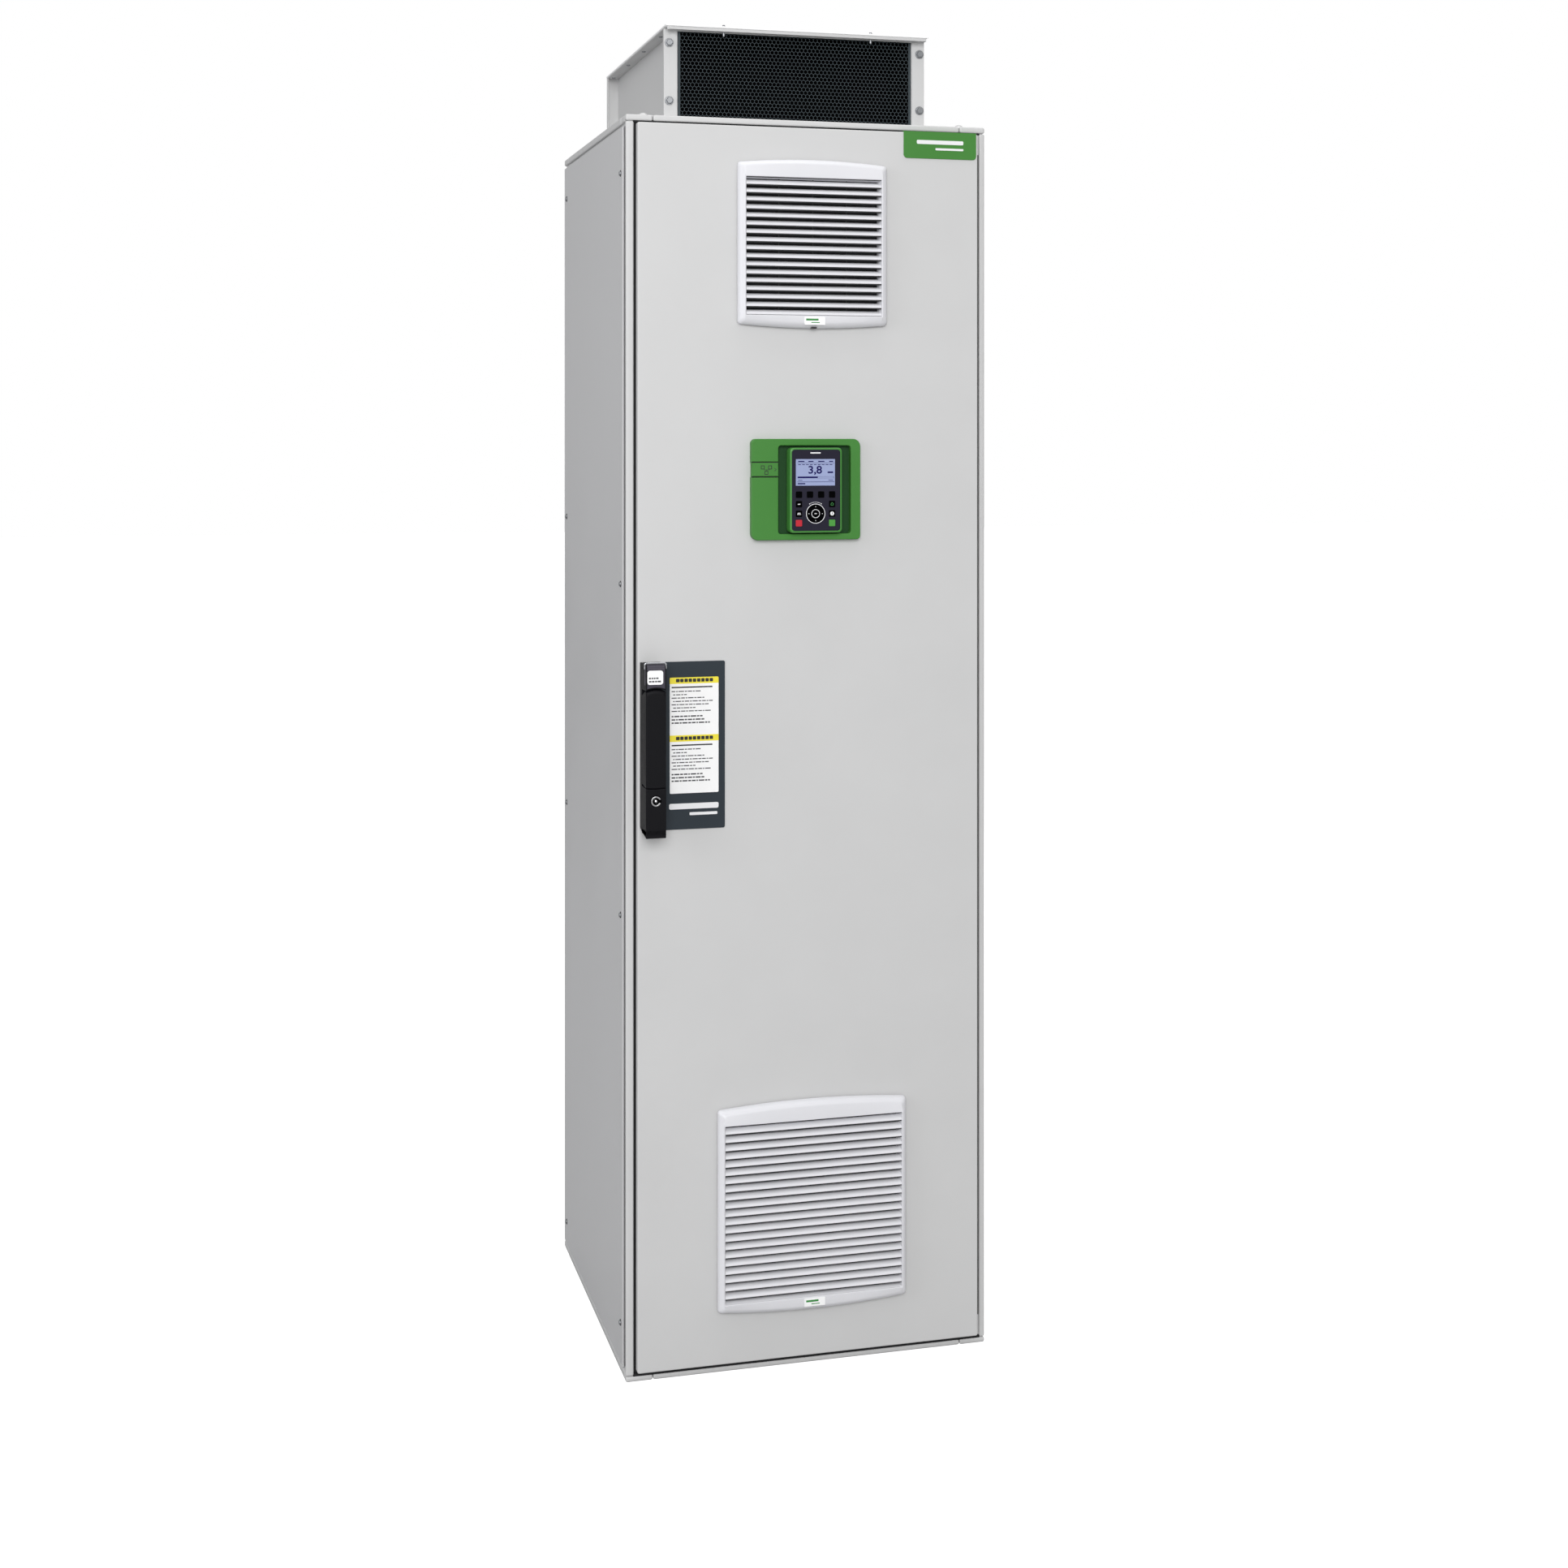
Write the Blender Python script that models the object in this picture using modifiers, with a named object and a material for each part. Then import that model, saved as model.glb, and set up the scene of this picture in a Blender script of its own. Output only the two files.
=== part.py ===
"""Floor-standing enclosed variable frequency drive, in metres.

The origin is the centre of the overall box, on the floor.  +Z is up, the door faces -Y and
+X is to the right of somebody who stands in front of the door.
"""
import math

import bmesh
import bpy
from mathutils import Matrix, Vector

# ---- driving dimensions -------------------------------------------------------------------
GAP = 0.0003                    # air between two pieces that touch

WIDTH = 0.600                   # cabinet
DEPTH = 0.600
HEIGHT = 2.000
OVERALL_DEPTH = 0.664           # cabinet, door and handle
OVERALL_HEIGHT = 2.157          # cabinet and hood

HALF = WIDTH / 2
HANDLE_FRONT = -OVERALL_DEPTH / 2
REAR = OVERALL_DEPTH / 2
FRONT = REAR - DEPTH            # front face of the frame
DOOR_PROUD = 0.015
DOOR_FACE = FRONT - DOOR_PROUD

RAIL = 0.045                    # height of the top and bottom frames
UPRIGHT = 0.042                 # width of an upright's front face
UPRIGHT_DEPTH = 0.040
STEP_WIDTH = 0.026              # the left front upright is narrower beside the handle
STEP_DEPTH = 0.033
SHEET = 0.002
PANEL_RECESS = 0.0035           # how far the frame steps in under a side or rear panel
PANEL_THICK = 0.0032
PANEL_FRONT = 0.029             # side panel's front edge, behind the frame's front
PANEL_LOW = 0.0125
PANEL_HIGH = 1.984

DOOR_LEFT = -0.284
DOOR_RIGHT = 0.284
DOOR_LOW = 0.018
DOOR_HIGH = 1.986
DOOR_INNER = DOOR_FACE + SHEET
FLANGE_BACK = FRONT - 0.0015    # rear end of the door's folded edges
HINGE_X = 0.2785
HINGE_Y = FRONT - 0.0085
HINGE_FLANGE_BACK = FRONT - 0.004
HINGE_HEIGHTS = {"lower": 0.200, "upper": 1.800}

GASKET_WIDTH = 0.0065

GRILLE_SIZES = {
    # centre height, width, height, arch, cut-out half size, louvre field, slots
    "upper": (1.7985, 0.248, 0.262, 0.004, 0.113, (0.224, 0.212), 17),
    "lower": (0.2633, 0.3125, 0.3203, 0.007, 0.1455, (0.294, 0.277), 22),
}
GRILLE_FLANGE = 0.003
GRILLE_DEPTH = 0.0195           # front of the cover, proud of the door
COLLAR_DEPTH = 0.022
COLLAR_WALL = 0.002

HANDLE_X = -0.2645
HANDLE_HALF = 0.016
HANDLE_LOW = 0.8695
HANDLE_TOP = 1.1410
LEVER_BACK = -0.2997
LEVER_LOW = 0.9445
LEVER_HIGH = 1.0995
TURN_Z = 1.060                  # height of the handle's spindle
LIFT_Y = -0.326                 # pin on which the lever lifts
LIFT_Z = 1.0935
LEVER_NOSE = LEVER_HIGH - LIFT_Z
LOCK_Z = 0.925
LOCK_RADIUS = 0.0080

PLATE_THICK = 0.0012
HOLDER_LEFT = -0.1027
HOLDER_RIGHT = 0.0777
HOLDER_LOW = 1.3262
HOLDER_HIGH = 1.4875
HOLDER_FRONT = DOOR_FACE - 0.013
RECESS_LEFT = -0.0587
RECESS_RIGHT = 0.0614
RECESS_LOW = 1.3358
RECESS_HIGH = 1.4768
HOLDER_FLOOR = DOOR_FACE - 0.002
PORT_LOW = 1.4271
PORT_HIGH = 1.4502
PORT_THICK = 0.003

TERMINAL_X = -0.0005
TERMINAL_LOW = 1.338
TERMINAL_HIGH = 1.4735
TERMINAL_HALF = 0.0431
TERMINAL_FRONT = -0.3110
TERMINAL_BACK = HOLDER_FLOOR - GAP
KEYS_X = -0.0016                # centre line of the keys and the screen
KEY_SIZE = 0.0104
KEY_COLUMNS = (-0.0274, -0.0092, 0.0092, 0.0274)
KEY_ROWS = (1.3988, 1.3837, 1.3685, 1.3535)
KEY_PROUD = 0.0010
KEY_DEEP = 0.0030
WHEEL_RADIUS = 0.0160
OK_RADIUS = 0.0070
SCREEN_HALF = 0.0325
SCREEN_LOW = 1.4130
SCREEN_HIGH = 1.4555

HOOD_HALF = 0.222
HOOD_FRONT = FRONT + 0.080
HOOD_REAR = 0.327
HOOD_LOW = HEIGHT + 0.0023
HOOD_FLANGE = 0.021
HOOD_TOP = OVERALL_HEIGHT - 0.0030
HOOD_LIP = 0.019
DUCT_HALF = 0.180

MOUNT_Y = 0.270                 # front face of the mounting plate
CASE_FRONT = -0.110
CASE_BACK = 0.146
CASE_HALF = 0.165
CASE_LOW = 0.950
CASE_HIGH = 1.700
FAN_Y = 0.2041
FAN_Z = 0.925

# ---- finishes: colour in display values, roughness, metallic ----------------------------------
FINISHES = {
    "cabinet_paint": ((200, 199, 200), 0.45, 0.0),
    "panel_paint": ((178, 177, 182), 0.45, 0.0),
    "grille_plastic": ((222, 222, 226), 0.40, 0.0),
    "green_plastic": ((83, 142, 74), 0.42, 0.0),
    "terminal_green": ((79, 136, 72), 0.38, 0.0),
    "black_plastic": ((38, 39, 44), 0.50, 0.0),
    "key_black": ((14, 14, 18), 0.45, 0.0),
    "key_red": ((195, 45, 60), 0.40, 0.0),
    "key_green": ((84, 150, 74), 0.40, 0.0),
    "screen_glass": ((166, 174, 213), 0.20, 0.0),
    "plate_slate": ((55, 62, 68), 0.45, 0.0),
    "gasket_rubber": ((28, 28, 30), 0.80, 0.0),
    "filter_fibre": ((205, 205, 200), 0.95, 0.0),
    "mesh_steel": ((16, 16, 17), 0.50, 0.6),
    "zinc_steel": ((168, 170, 172), 0.35, 0.9),
    "lock_metal": ((205, 205, 208), 0.25, 1.0),
    "heatsink_alloy": ((176, 178, 181), 0.40, 0.9),
    "case_steel": ((70, 72, 76), 0.50, 0.2),
    "capacitor_sleeve": ((42, 46, 60), 0.45, 0.0),
    "core_steel": ((96, 88, 80), 0.60, 0.5),
    "fan_plastic": ((24, 24, 26), 0.50, 0.0),
    "terminal_resin": ((60, 64, 62), 0.55, 0.0),
}


def linear(value):
    """Scene-linear value of a display value between 0 and 255."""
    share = value / 255
    if share <= 0.04045:
        return share / 12.92
    return ((share + 0.055) / 1.055) ** 2.4


def make_material(name):
    colour, roughness, metallic = FINISHES[name]
    made = bpy.data.materials.new(name)
    made.use_nodes = True
    surface = made.node_tree.nodes["Principled BSDF"]
    surface.inputs["Base Color"].default_value = (*[linear(v) for v in colour], 1.0)
    surface.inputs["Roughness"].default_value = roughness
    surface.inputs["Metallic"].default_value = metallic
    return made


def make_collection(name):
    made = bpy.data.collections.new(name)
    bpy.context.scene.collection.children.link(made)
    return made


for old in list(bpy.data.objects):
    bpy.data.objects.remove(old)

PARTS = make_collection("enclosed_drive")
CUTTERS = make_collection("cutters")
MATERIALS = {name: make_material(name) for name in FINISHES}


# ---- shape helpers ---------------------------------------------------------------------------
def add(name, mesh, finish):
    """Put a mesh in the scene: a part if it has a finish, or else a cutter."""
    made = bpy.data.objects.new(name, mesh)
    if finish:
        mesh.materials.append(MATERIALS[finish])
        PARTS.objects.link(made)
    else:
        CUTTERS.objects.link(made)
        made.hide_render = True
        made.display_type = "WIRE"
    return made


def box(name, low, high, finish=None, bevel=0.0, segments=2):
    mesh = bpy.data.meshes.new(name)
    shape = bmesh.new()
    bmesh.ops.create_cube(shape, size=1.0)
    size = Vector(high) - Vector(low)
    bmesh.ops.scale(shape, vec=size, verts=shape.verts)
    shape.to_mesh(mesh)
    shape.free()
    made = add(name, mesh, finish)
    made.location = (Vector(low) + Vector(high)) / 2
    if bevel:
        edge = made.modifiers.new("rounded_edges", "BEVEL")
        edge.width = bevel
        edge.segments = segments
    return made


AXES = {
    "X": Matrix.Rotation(math.pi / 2, 4, "Y"),
    "Y": Matrix.Rotation(math.pi / 2, 4, "X"),
    "Z": Matrix.Identity(4),
}


def cylinder(name, centre, radius, length, axis, finish=None, sides=32):
    mesh = bpy.data.meshes.new(name)
    shape = bmesh.new()
    bmesh.ops.create_cone(
        shape, cap_ends=True, segments=sides, radius1=radius, radius2=radius, depth=length
    )
    shape.to_mesh(mesh)
    shape.free()
    mesh.shade_smooth()
    mesh.set_sharp_from_angle(angle=math.radians(40))
    made = add(name, mesh, finish)
    made.matrix_world = Matrix.Translation(centre) @ AXES[axis]
    return made


PLANES = {
    # an outline's own x, y and thickness directions in the part
    "XY": Matrix.Identity(4),
    "XZ": Matrix.Rotation(math.pi / 2, 4, "X"),
    "YZ": Matrix(((0, 0, 1), (1, 0, 0), (0, 1, 0))).to_4x4(),
}
THICKNESS_AXIS = {"XY": 2, "XZ": 1, "YZ": 0}


def outline(name, loops, plane, low, high, finish=None):
    """A flat outline, with any further loops as holes, from low to high across its plane."""
    data = bpy.data.curves.new(name, "CURVE")
    data.dimensions = "2D"
    data.fill_mode = "BOTH"
    data.extrude = (high - low) / 2
    for points in loops:
        spline = data.splines.new("POLY")
        spline.points.add(len(points) - 1)
        for target, point in zip(spline.points, points):
            target.co = (point[0], point[1], 0.0, 1.0)
        spline.use_cyclic_u = True
    curve = bpy.data.objects.new(name, data)
    CUTTERS.objects.link(curve)
    evaluated = curve.evaluated_get(bpy.context.evaluated_depsgraph_get())
    mesh = bpy.data.meshes.new_from_object(evaluated)
    mesh.materials.clear()
    bpy.data.objects.remove(curve)
    shape = bmesh.new()
    shape.from_mesh(mesh)
    bmesh.ops.remove_doubles(shape, verts=shape.verts, dist=1e-6)
    bmesh.ops.recalc_face_normals(shape, faces=shape.faces)
    shape.to_mesh(mesh)
    shape.free()
    made = add(name, mesh, finish)
    offset = Vector((0.0, 0.0, 0.0))
    offset[THICKNESS_AXIS[plane]] = (low + high) / 2
    made.matrix_world = Matrix.Translation(offset) @ PLANES[plane]
    return made


def boolean(part, other, operation):
    step = part.modifiers.new(operation.lower(), "BOOLEAN")
    step.operation = operation
    step.object = other
    return part


def cut(part, *others):
    for other in others:
        boolean(part, other, "DIFFERENCE")
    return part


def join(part, *others):
    for other in others:
        boolean(part, other, "UNION")
    return part


def rectangle(left, right, low, high):
    return [(left, low), (right, low), (right, high), (left, high)]


def rounded_rectangle(left, right, low, high, radii, steps=5):
    """Corners in the order bottom left, bottom right, top right, top left."""
    corners = (
        (left, low, 180), (right, low, 270), (right, high, 0), (left, high, 90),
    )
    points = []
    for (x, y, start), radius in zip(corners, radii):
        inner_x = x + radius if x == left else x - radius
        inner_y = y + radius if y == low else y - radius
        if not radius:
            points.append((x, y))
            continue
        for step in range(steps + 1):
            angle = math.radians(start + 90 * step / steps)
            points.append((inner_x + radius * math.cos(angle), inner_y + radius * math.sin(angle)))
    return points


def arc(centre, radius, start, end, steps):
    """Points from one angle to another, in degrees."""
    points = []
    for step in range(steps + 1):
        angle = math.radians(start + (end - start) * step / steps)
        points.append((centre[0] + radius * math.cos(angle), centre[1] + radius * math.sin(angle)))
    return points


def arched_rectangle(half, low, high, rise, steps=10):
    """A rectangle whose lower and upper edges bow outwards by rise at the middle."""
    points = []
    for step in range(steps + 1):
        share = -1 + 2 * step / steps
        points.append((half * share, low - rise * (1 - share * share)))
    for step in range(steps + 1):
        share = 1 - 2 * step / steps
        points.append((half * share, high + rise * (1 - share * share)))
    return points


# ---- cabinet structure -----------------------------------------------------------------------
def frame_ring(name, low, high, panel_band):
    """A square ring of open channel, stepped in where the side and rear panels lie."""
    ring = box(name, (-HALF, FRONT, low), (HALF, REAR, high), "cabinet_paint", 0.0015, 1)
    inner = HALF - RAIL
    opening = box(
        name + "_opening", (-inner, FRONT + UPRIGHT_DEPTH, low - 0.01), (inner, REAR - RAIL, high + 0.01)
    )
    wall = 0.005
    channel = box(
        name + "_channel",
        (-HALF + wall, FRONT + wall, low + SHEET),
        (HALF - wall, REAR - wall, high - SHEET),
    )
    cut(ring, opening, channel)
    band_low, band_high = panel_band
    side_front = FRONT + PANEL_FRONT - 0.002
    for side in (-1, 1):
        inner_face = side * (HALF - PANEL_RECESS)
        outer_face = side * (HALF + 0.01)
        step = box(
            name + "_side_step",
            (min(inner_face, outer_face), side_front, band_low),
            (max(inner_face, outer_face), REAR + 0.01, band_high),
        )
        cut(ring, step)
    rear_step = box(
        name + "_rear_step",
        (-HALF - 0.01, REAR - PANEL_RECESS, band_low),
        (HALF + 0.01, REAR + 0.01, band_high),
    )
    return cut(ring, rear_step)


def offset_inwards(points, wall):
    """The same outline moved inwards by wall, for outlines with square corners."""
    count = len(points)
    moved = []
    for index in range(count):
        before = Vector(points[index - 1])
        here = Vector(points[index])
        after = Vector(points[(index + 1) % count])
        first = (here - before).normalized()
        second = (after - here).normalized()
        shift = Vector((-first.y - second.y, first.x + second.x)) * wall
        moved.append(tuple(here + shift))
    return moved


def upright(name, points):
    """A hollow post between the two frames; its outline runs anticlockwise."""
    hole = offset_inwards(points, SHEET)
    return outline(name, [points, hole], "XY", RAIL + GAP, HEIGHT - RAIL - GAP, "cabinet_paint")


def mirror_outline(points):
    return [(-x, y) for x, y in reversed(points)]


def uprights():
    outer = HALF
    recessed = HALF - PANEL_RECESS
    back = FRONT + UPRIGHT_DEPTH
    side_front = FRONT + PANEL_FRONT - 0.002
    right = [
        (outer - UPRIGHT, FRONT), (outer, FRONT), (outer, side_front),
        (recessed, side_front), (recessed, back), (outer - UPRIGHT, back),
    ]
    left = [
        (-outer, FRONT), (-outer + STEP_WIDTH, FRONT), (-outer + STEP_WIDTH, FRONT + STEP_DEPTH),
        (-outer + UPRIGHT, FRONT + STEP_DEPTH), (-outer + UPRIGHT, back), (-recessed, back),
        (-recessed, side_front), (-outer, side_front),
    ]
    rear_face = REAR - PANEL_RECESS
    rear_right = rectangle(outer - RAIL, recessed, rear_face - UPRIGHT_DEPTH, rear_face)
    upright("upright_front_right", right)
    upright("upright_front_left", left)
    upright("upright_rear_right", rear_right)
    upright("upright_rear_left", mirror_outline(rear_right))


def side_panel(name, side):
    """A shallow tray whose open side faces the frame."""
    outer = side * HALF
    inner = side * (HALF - PANEL_THICK)
    front = FRONT + PANEL_FRONT
    back = REAR - PANEL_RECESS - 0.001
    panel = box(
        name,
        (min(outer, inner), front, PANEL_LOW), (max(outer, inner), back, PANEL_HIGH),
        "panel_paint",
    )
    skin = side * (HALF - 0.0015)
    beyond = side * (HALF - 0.010)
    edge = 0.0015
    hollow = box(
        name + "_hollow",
        (min(skin, beyond), front + edge, PANEL_LOW + edge),
        (max(skin, beyond), back - edge, PANEL_HIGH - edge),
    )
    return cut(panel, hollow)


def rear_panel():
    half = HALF
    panel = box(
        "rear_panel", (-half, REAR - PANEL_THICK, PANEL_LOW), (half, REAR, PANEL_HIGH), "panel_paint"
    )
    edge = 0.0015
    hollow = box(
        "rear_panel_hollow",
        (-half + edge, REAR - 0.010, PANEL_LOW + edge), (half - edge, REAR - edge, PANEL_HIGH - edge),
    )
    return cut(panel, hollow)


def roof_panel():
    inset = 0.020
    low = HEIGHT + GAP
    panel = box(
        "roof_panel",
        (-HALF + inset, FRONT + inset, low), (HALF - inset, REAR - inset, low + 0.0017),
        "cabinet_paint",
    )
    duct = box(
        "roof_duct",
        (-DUCT_HALF, HOOD_FRONT + 0.030, HEIGHT - 0.01), (DUCT_HALF, HOOD_REAR - 0.050, HEIGHT + 0.01),
    )
    return cut(panel, duct)


def gland_plate():
    """A plain plate that lies on the bottom frame's inner lip."""
    half = HALF - RAIL - 0.002
    return box(
        "gland_plate",
        (-half, FRONT + UPRIGHT_DEPTH + 0.002, 0.010), (half, REAR - RAIL - 0.002, 0.012),
        "zinc_steel",
    )


def mounting_plate():
    """Steel plate with folded edges that reach back to the rear uprights."""
    back = REAR - PANEL_RECESS - UPRIGHT_DEPTH - GAP
    plate = box("mounting_plate", (-0.280, MOUNT_Y, 0.080), (0.280, back, 1.920), "zinc_steel")
    hollow = box(
        "mounting_plate_hollow", (-0.2775, MOUNT_Y + 0.0025, 0.0825), (0.2775, back + 0.01, 1.9175)
    )
    return cut(plate, hollow)


# ---- ventilation hood ------------------------------------------------------------------------
def hood():
    duct = HOOD_HALF - HOOD_FLANGE
    shell = box(
        "hood_shell", (-HOOD_HALF, HOOD_FRONT, HOOD_LOW), (HOOD_HALF, HOOD_REAR, HOOD_TOP), "cabinet_paint"
    )
    inside = box(
        "hood_inside",
        (-duct + SHEET, HOOD_FRONT - 0.01, HOOD_LOW - 0.01),
        (duct - SHEET, HOOD_REAR - SHEET, HOOD_TOP + 0.01),
    )
    cut(shell, inside)
    for side in (-1, 1):
        near = side * duct
        far = side * (HOOD_HALF + 0.01)
        pocket = box(
            "hood_pocket",
            (min(near, far), HOOD_FRONT + SHEET, HOOD_LOW - 0.01),
            (max(near, far), HOOD_REAR - SHEET, HOOD_TOP - SHEET),
        )
        cut(shell, pocket)
    roof_low = HOOD_TOP + GAP
    lip = HOOD_FRONT - HOOD_LIP
    roof_profile = [
        (lip, roof_low - 0.006), (lip + 0.0015, roof_low - 0.006), (lip + 0.0015, roof_low),
        (HOOD_REAR + 0.001, roof_low), (HOOD_REAR + 0.001, OVERALL_HEIGHT), (lip, OVERALL_HEIGHT),
    ]
    outline("hood_roof", [roof_profile], "YZ", -HOOD_HALF - 0.001, HOOD_HALF + 0.001, "cabinet_paint")
    box(
        "hood_mesh",
        (-duct + SHEET + GAP, HOOD_FRONT + 0.0010, HOOD_LOW + GAP),
        (duct - SHEET - GAP, HOOD_FRONT + 0.0025, HOOD_TOP - GAP),
        "mesh_steel",
    )


# ---- door ------------------------------------------------------------------------------------
def door_panel():
    door = box(
        "door_panel",
        (DOOR_LEFT, DOOR_FACE, DOOR_LOW), (DOOR_RIGHT, FLANGE_BACK, DOOR_HIGH),
        "cabinet_paint", 0.0012, 2,
    )
    hollow = box(
        "door_hollow",
        (DOOR_LEFT + SHEET, DOOR_INNER, DOOR_LOW + SHEET),
        (DOOR_RIGHT - SHEET, FRONT + 0.01, DOOR_HIGH - SHEET),
    )
    hinge_side = box(
        "door_hinge_side",
        (DOOR_RIGHT - 0.010, HINGE_FLANGE_BACK, DOOR_LOW - 0.01),
        (DOOR_RIGHT + 0.01, FRONT + 0.01, DOOR_HIGH + 0.01),
    )
    cut(door, hollow, hinge_side)
    for height in HINGE_HEIGHTS.values():
        notch = box(
            "door_hinge_notch",
            (DOOR_RIGHT - 0.0055, DOOR_INNER, height - 0.026),
            (DOOR_RIGHT + 0.01, FRONT + 0.01, height + 0.026),
        )
        cut(door, notch)
    for centre, _, _, _, cutout, _, _ in GRILLE_SIZES.values():
        window = box(
            "door_window",
            (-cutout, DOOR_FACE - 0.01, centre - cutout), (cutout, FRONT + 0.01, centre + cutout),
        )
        cut(door, window)
    spindle_hole = cylinder("door_spindle_hole", (HANDLE_X, DOOR_FACE, TURN_Z), 0.0070, 0.02, "Y")
    cable_hole = cylinder("door_cable_hole", (TERMINAL_X, DOOR_FACE, 1.400), 0.0112, 0.02, "Y")
    return cut(door, spindle_hole, cable_hole)


def door_gasket():
    """Foam ring between the door's inner face and the frame; its right leg lies inside the hinges."""
    left = DOOR_LEFT + 0.003
    right = HINGE_X - 0.0115
    low = DOOR_LOW + 0.004
    high = DOOR_HIGH - 0.004
    inner = rectangle(left + GASKET_WIDTH, right - GASKET_WIDTH, low + GASKET_WIDTH, high - GASKET_WIDTH)
    return outline(
        "door_gasket", [rectangle(left, right, low, high), inner],
        "XZ", DOOR_INNER + GAP, FRONT - GAP, "gasket_rubber",
    )


def hinge(level, height):
    """A fixed bracket with its pin, and the knuckle on the door that turns on the pin."""
    barrel = 0.0034
    pin = 0.0020
    length = 0.018
    arm = box(
        "hinge_bracket_" + level,
        (HINGE_X - barrel, HINGE_Y, height - length), (HINGE_X + 0.0004, FRONT - GAP, height - 0.001),
        "zinc_steel",
    )
    body = cylinder(
        "hinge_barrel", (HINGE_X, HINGE_Y, height - (length + 0.001) / 2), barrel, length - 0.001, "Z"
    )
    shaft = cylinder("hinge_pin", (HINGE_X, HINGE_Y, height), pin, 2 * length - 0.004, "Z", sides=16)
    join(arm, body, shaft)
    knuckle_low = height - 0.001 + GAP
    knuckle = box(
        "hinge_knuckle_" + level,
        (HINGE_X - 0.0100, DOOR_INNER + GAP, knuckle_low), (HINGE_X + 0.0030, HINGE_Y, height + length),
        "zinc_steel",
    )
    middle = (knuckle_low + height + length) / 2
    ring = cylinder(
        "knuckle_ring", (HINGE_X, HINGE_Y, middle), 0.0036, height + length - knuckle_low, "Z"
    )
    bore = cylinder("knuckle_bore", (HINGE_X, HINGE_Y, middle), pin + GAP, 0.05, "Z", sides=16)
    join(knuckle, ring)
    cut(knuckle, bore)


def corner_plate():
    """Plate on the door's top right corner, folded back over the door's top edge."""
    left = 0.158
    right = 0.281
    low = 1.942
    under = DOOR_HIGH + GAP
    high = under + PLATE_THICK
    face = DOOR_FACE - GAP
    front = face - PLATE_THICK
    profile = [
        (front, low), (face, low), (face, under), (DOOR_FACE + 0.008, under),
        (DOOR_FACE + 0.008, high), (front, high),
    ]
    plate = outline("corner_plate", [profile], "YZ", left, right, "green_plastic")
    corner = 0.006
    shape = rounded_rectangle(left, right, low, high + 0.010, (corner, corner, 0.0, 0.0))
    trim = outline("corner_plate_trim", [shape], "XZ", front - 0.01, DOOR_FACE + 0.02)
    return boolean(plate, trim, "INTERSECT")


def label_plate():
    face = DOOR_FACE - GAP
    shape = rounded_rectangle(-0.2480, -0.1435, 0.8710, 1.1360, (0.0, 0.003, 0.003, 0.0))
    return outline("label_plate", [shape], "XZ", face - PLATE_THICK, face, "plate_slate")


# ---- grilles ---------------------------------------------------------------------------------
def grille(level):
    centre, width, height, arch, cutout, field, slots = GRILLE_SIZES[level]
    face = DOOR_FACE - GAP
    collar = cutout - 0.0006
    flange = cutout + 0.004
    frame = box(
        level + "_grille_frame",
        (-flange, face - GRILLE_FLANGE, centre - flange), (flange, face, centre + flange),
        "grille_plastic",
    )
    collar_box = box(
        level + "_collar",
        (-collar, face - 0.001, centre - collar), (collar, DOOR_FACE + COLLAR_DEPTH, centre + collar),
    )
    bore = collar - COLLAR_WALL
    window = box(
        level + "_collar_window",
        (-bore, face - 0.02, centre - bore), (bore, DOOR_FACE + 0.05, centre + bore),
    )
    join(frame, collar_box)
    cut(frame, window)
    mat = bore - 0.0005
    box(
        level + "_filter_mat",
        (-mat, DOOR_FACE + 0.002, centre - mat), (mat, DOOR_FACE + 0.014, centre + mat),
        "filter_fibre",
    )
    back = face - GRILLE_FLANGE - GAP
    front = DOOR_FACE - GRILLE_DEPTH
    loops = [arched_rectangle(width / 2, centre - height / 2, centre + height / 2, arch)]
    pitch = field[1] / slots
    for slot in range(slots):
        low = centre - field[1] / 2 + pitch * slot
        loops.append(rectangle(-field[0] / 2, field[0] / 2, low, low + pitch * 0.45))
    cover = outline(level + "_grille_cover", loops, "XZ", front, back, "grille_plastic")
    hollow_x = width / 2 - 0.004
    hollow_z = height / 2 - 0.004
    hollow = box(
        level + "_cover_hollow",
        (-hollow_x, front + 0.006, centre - hollow_z), (hollow_x, back + 0.01, centre + hollow_z),
    )
    cut(cover, hollow)


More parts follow.
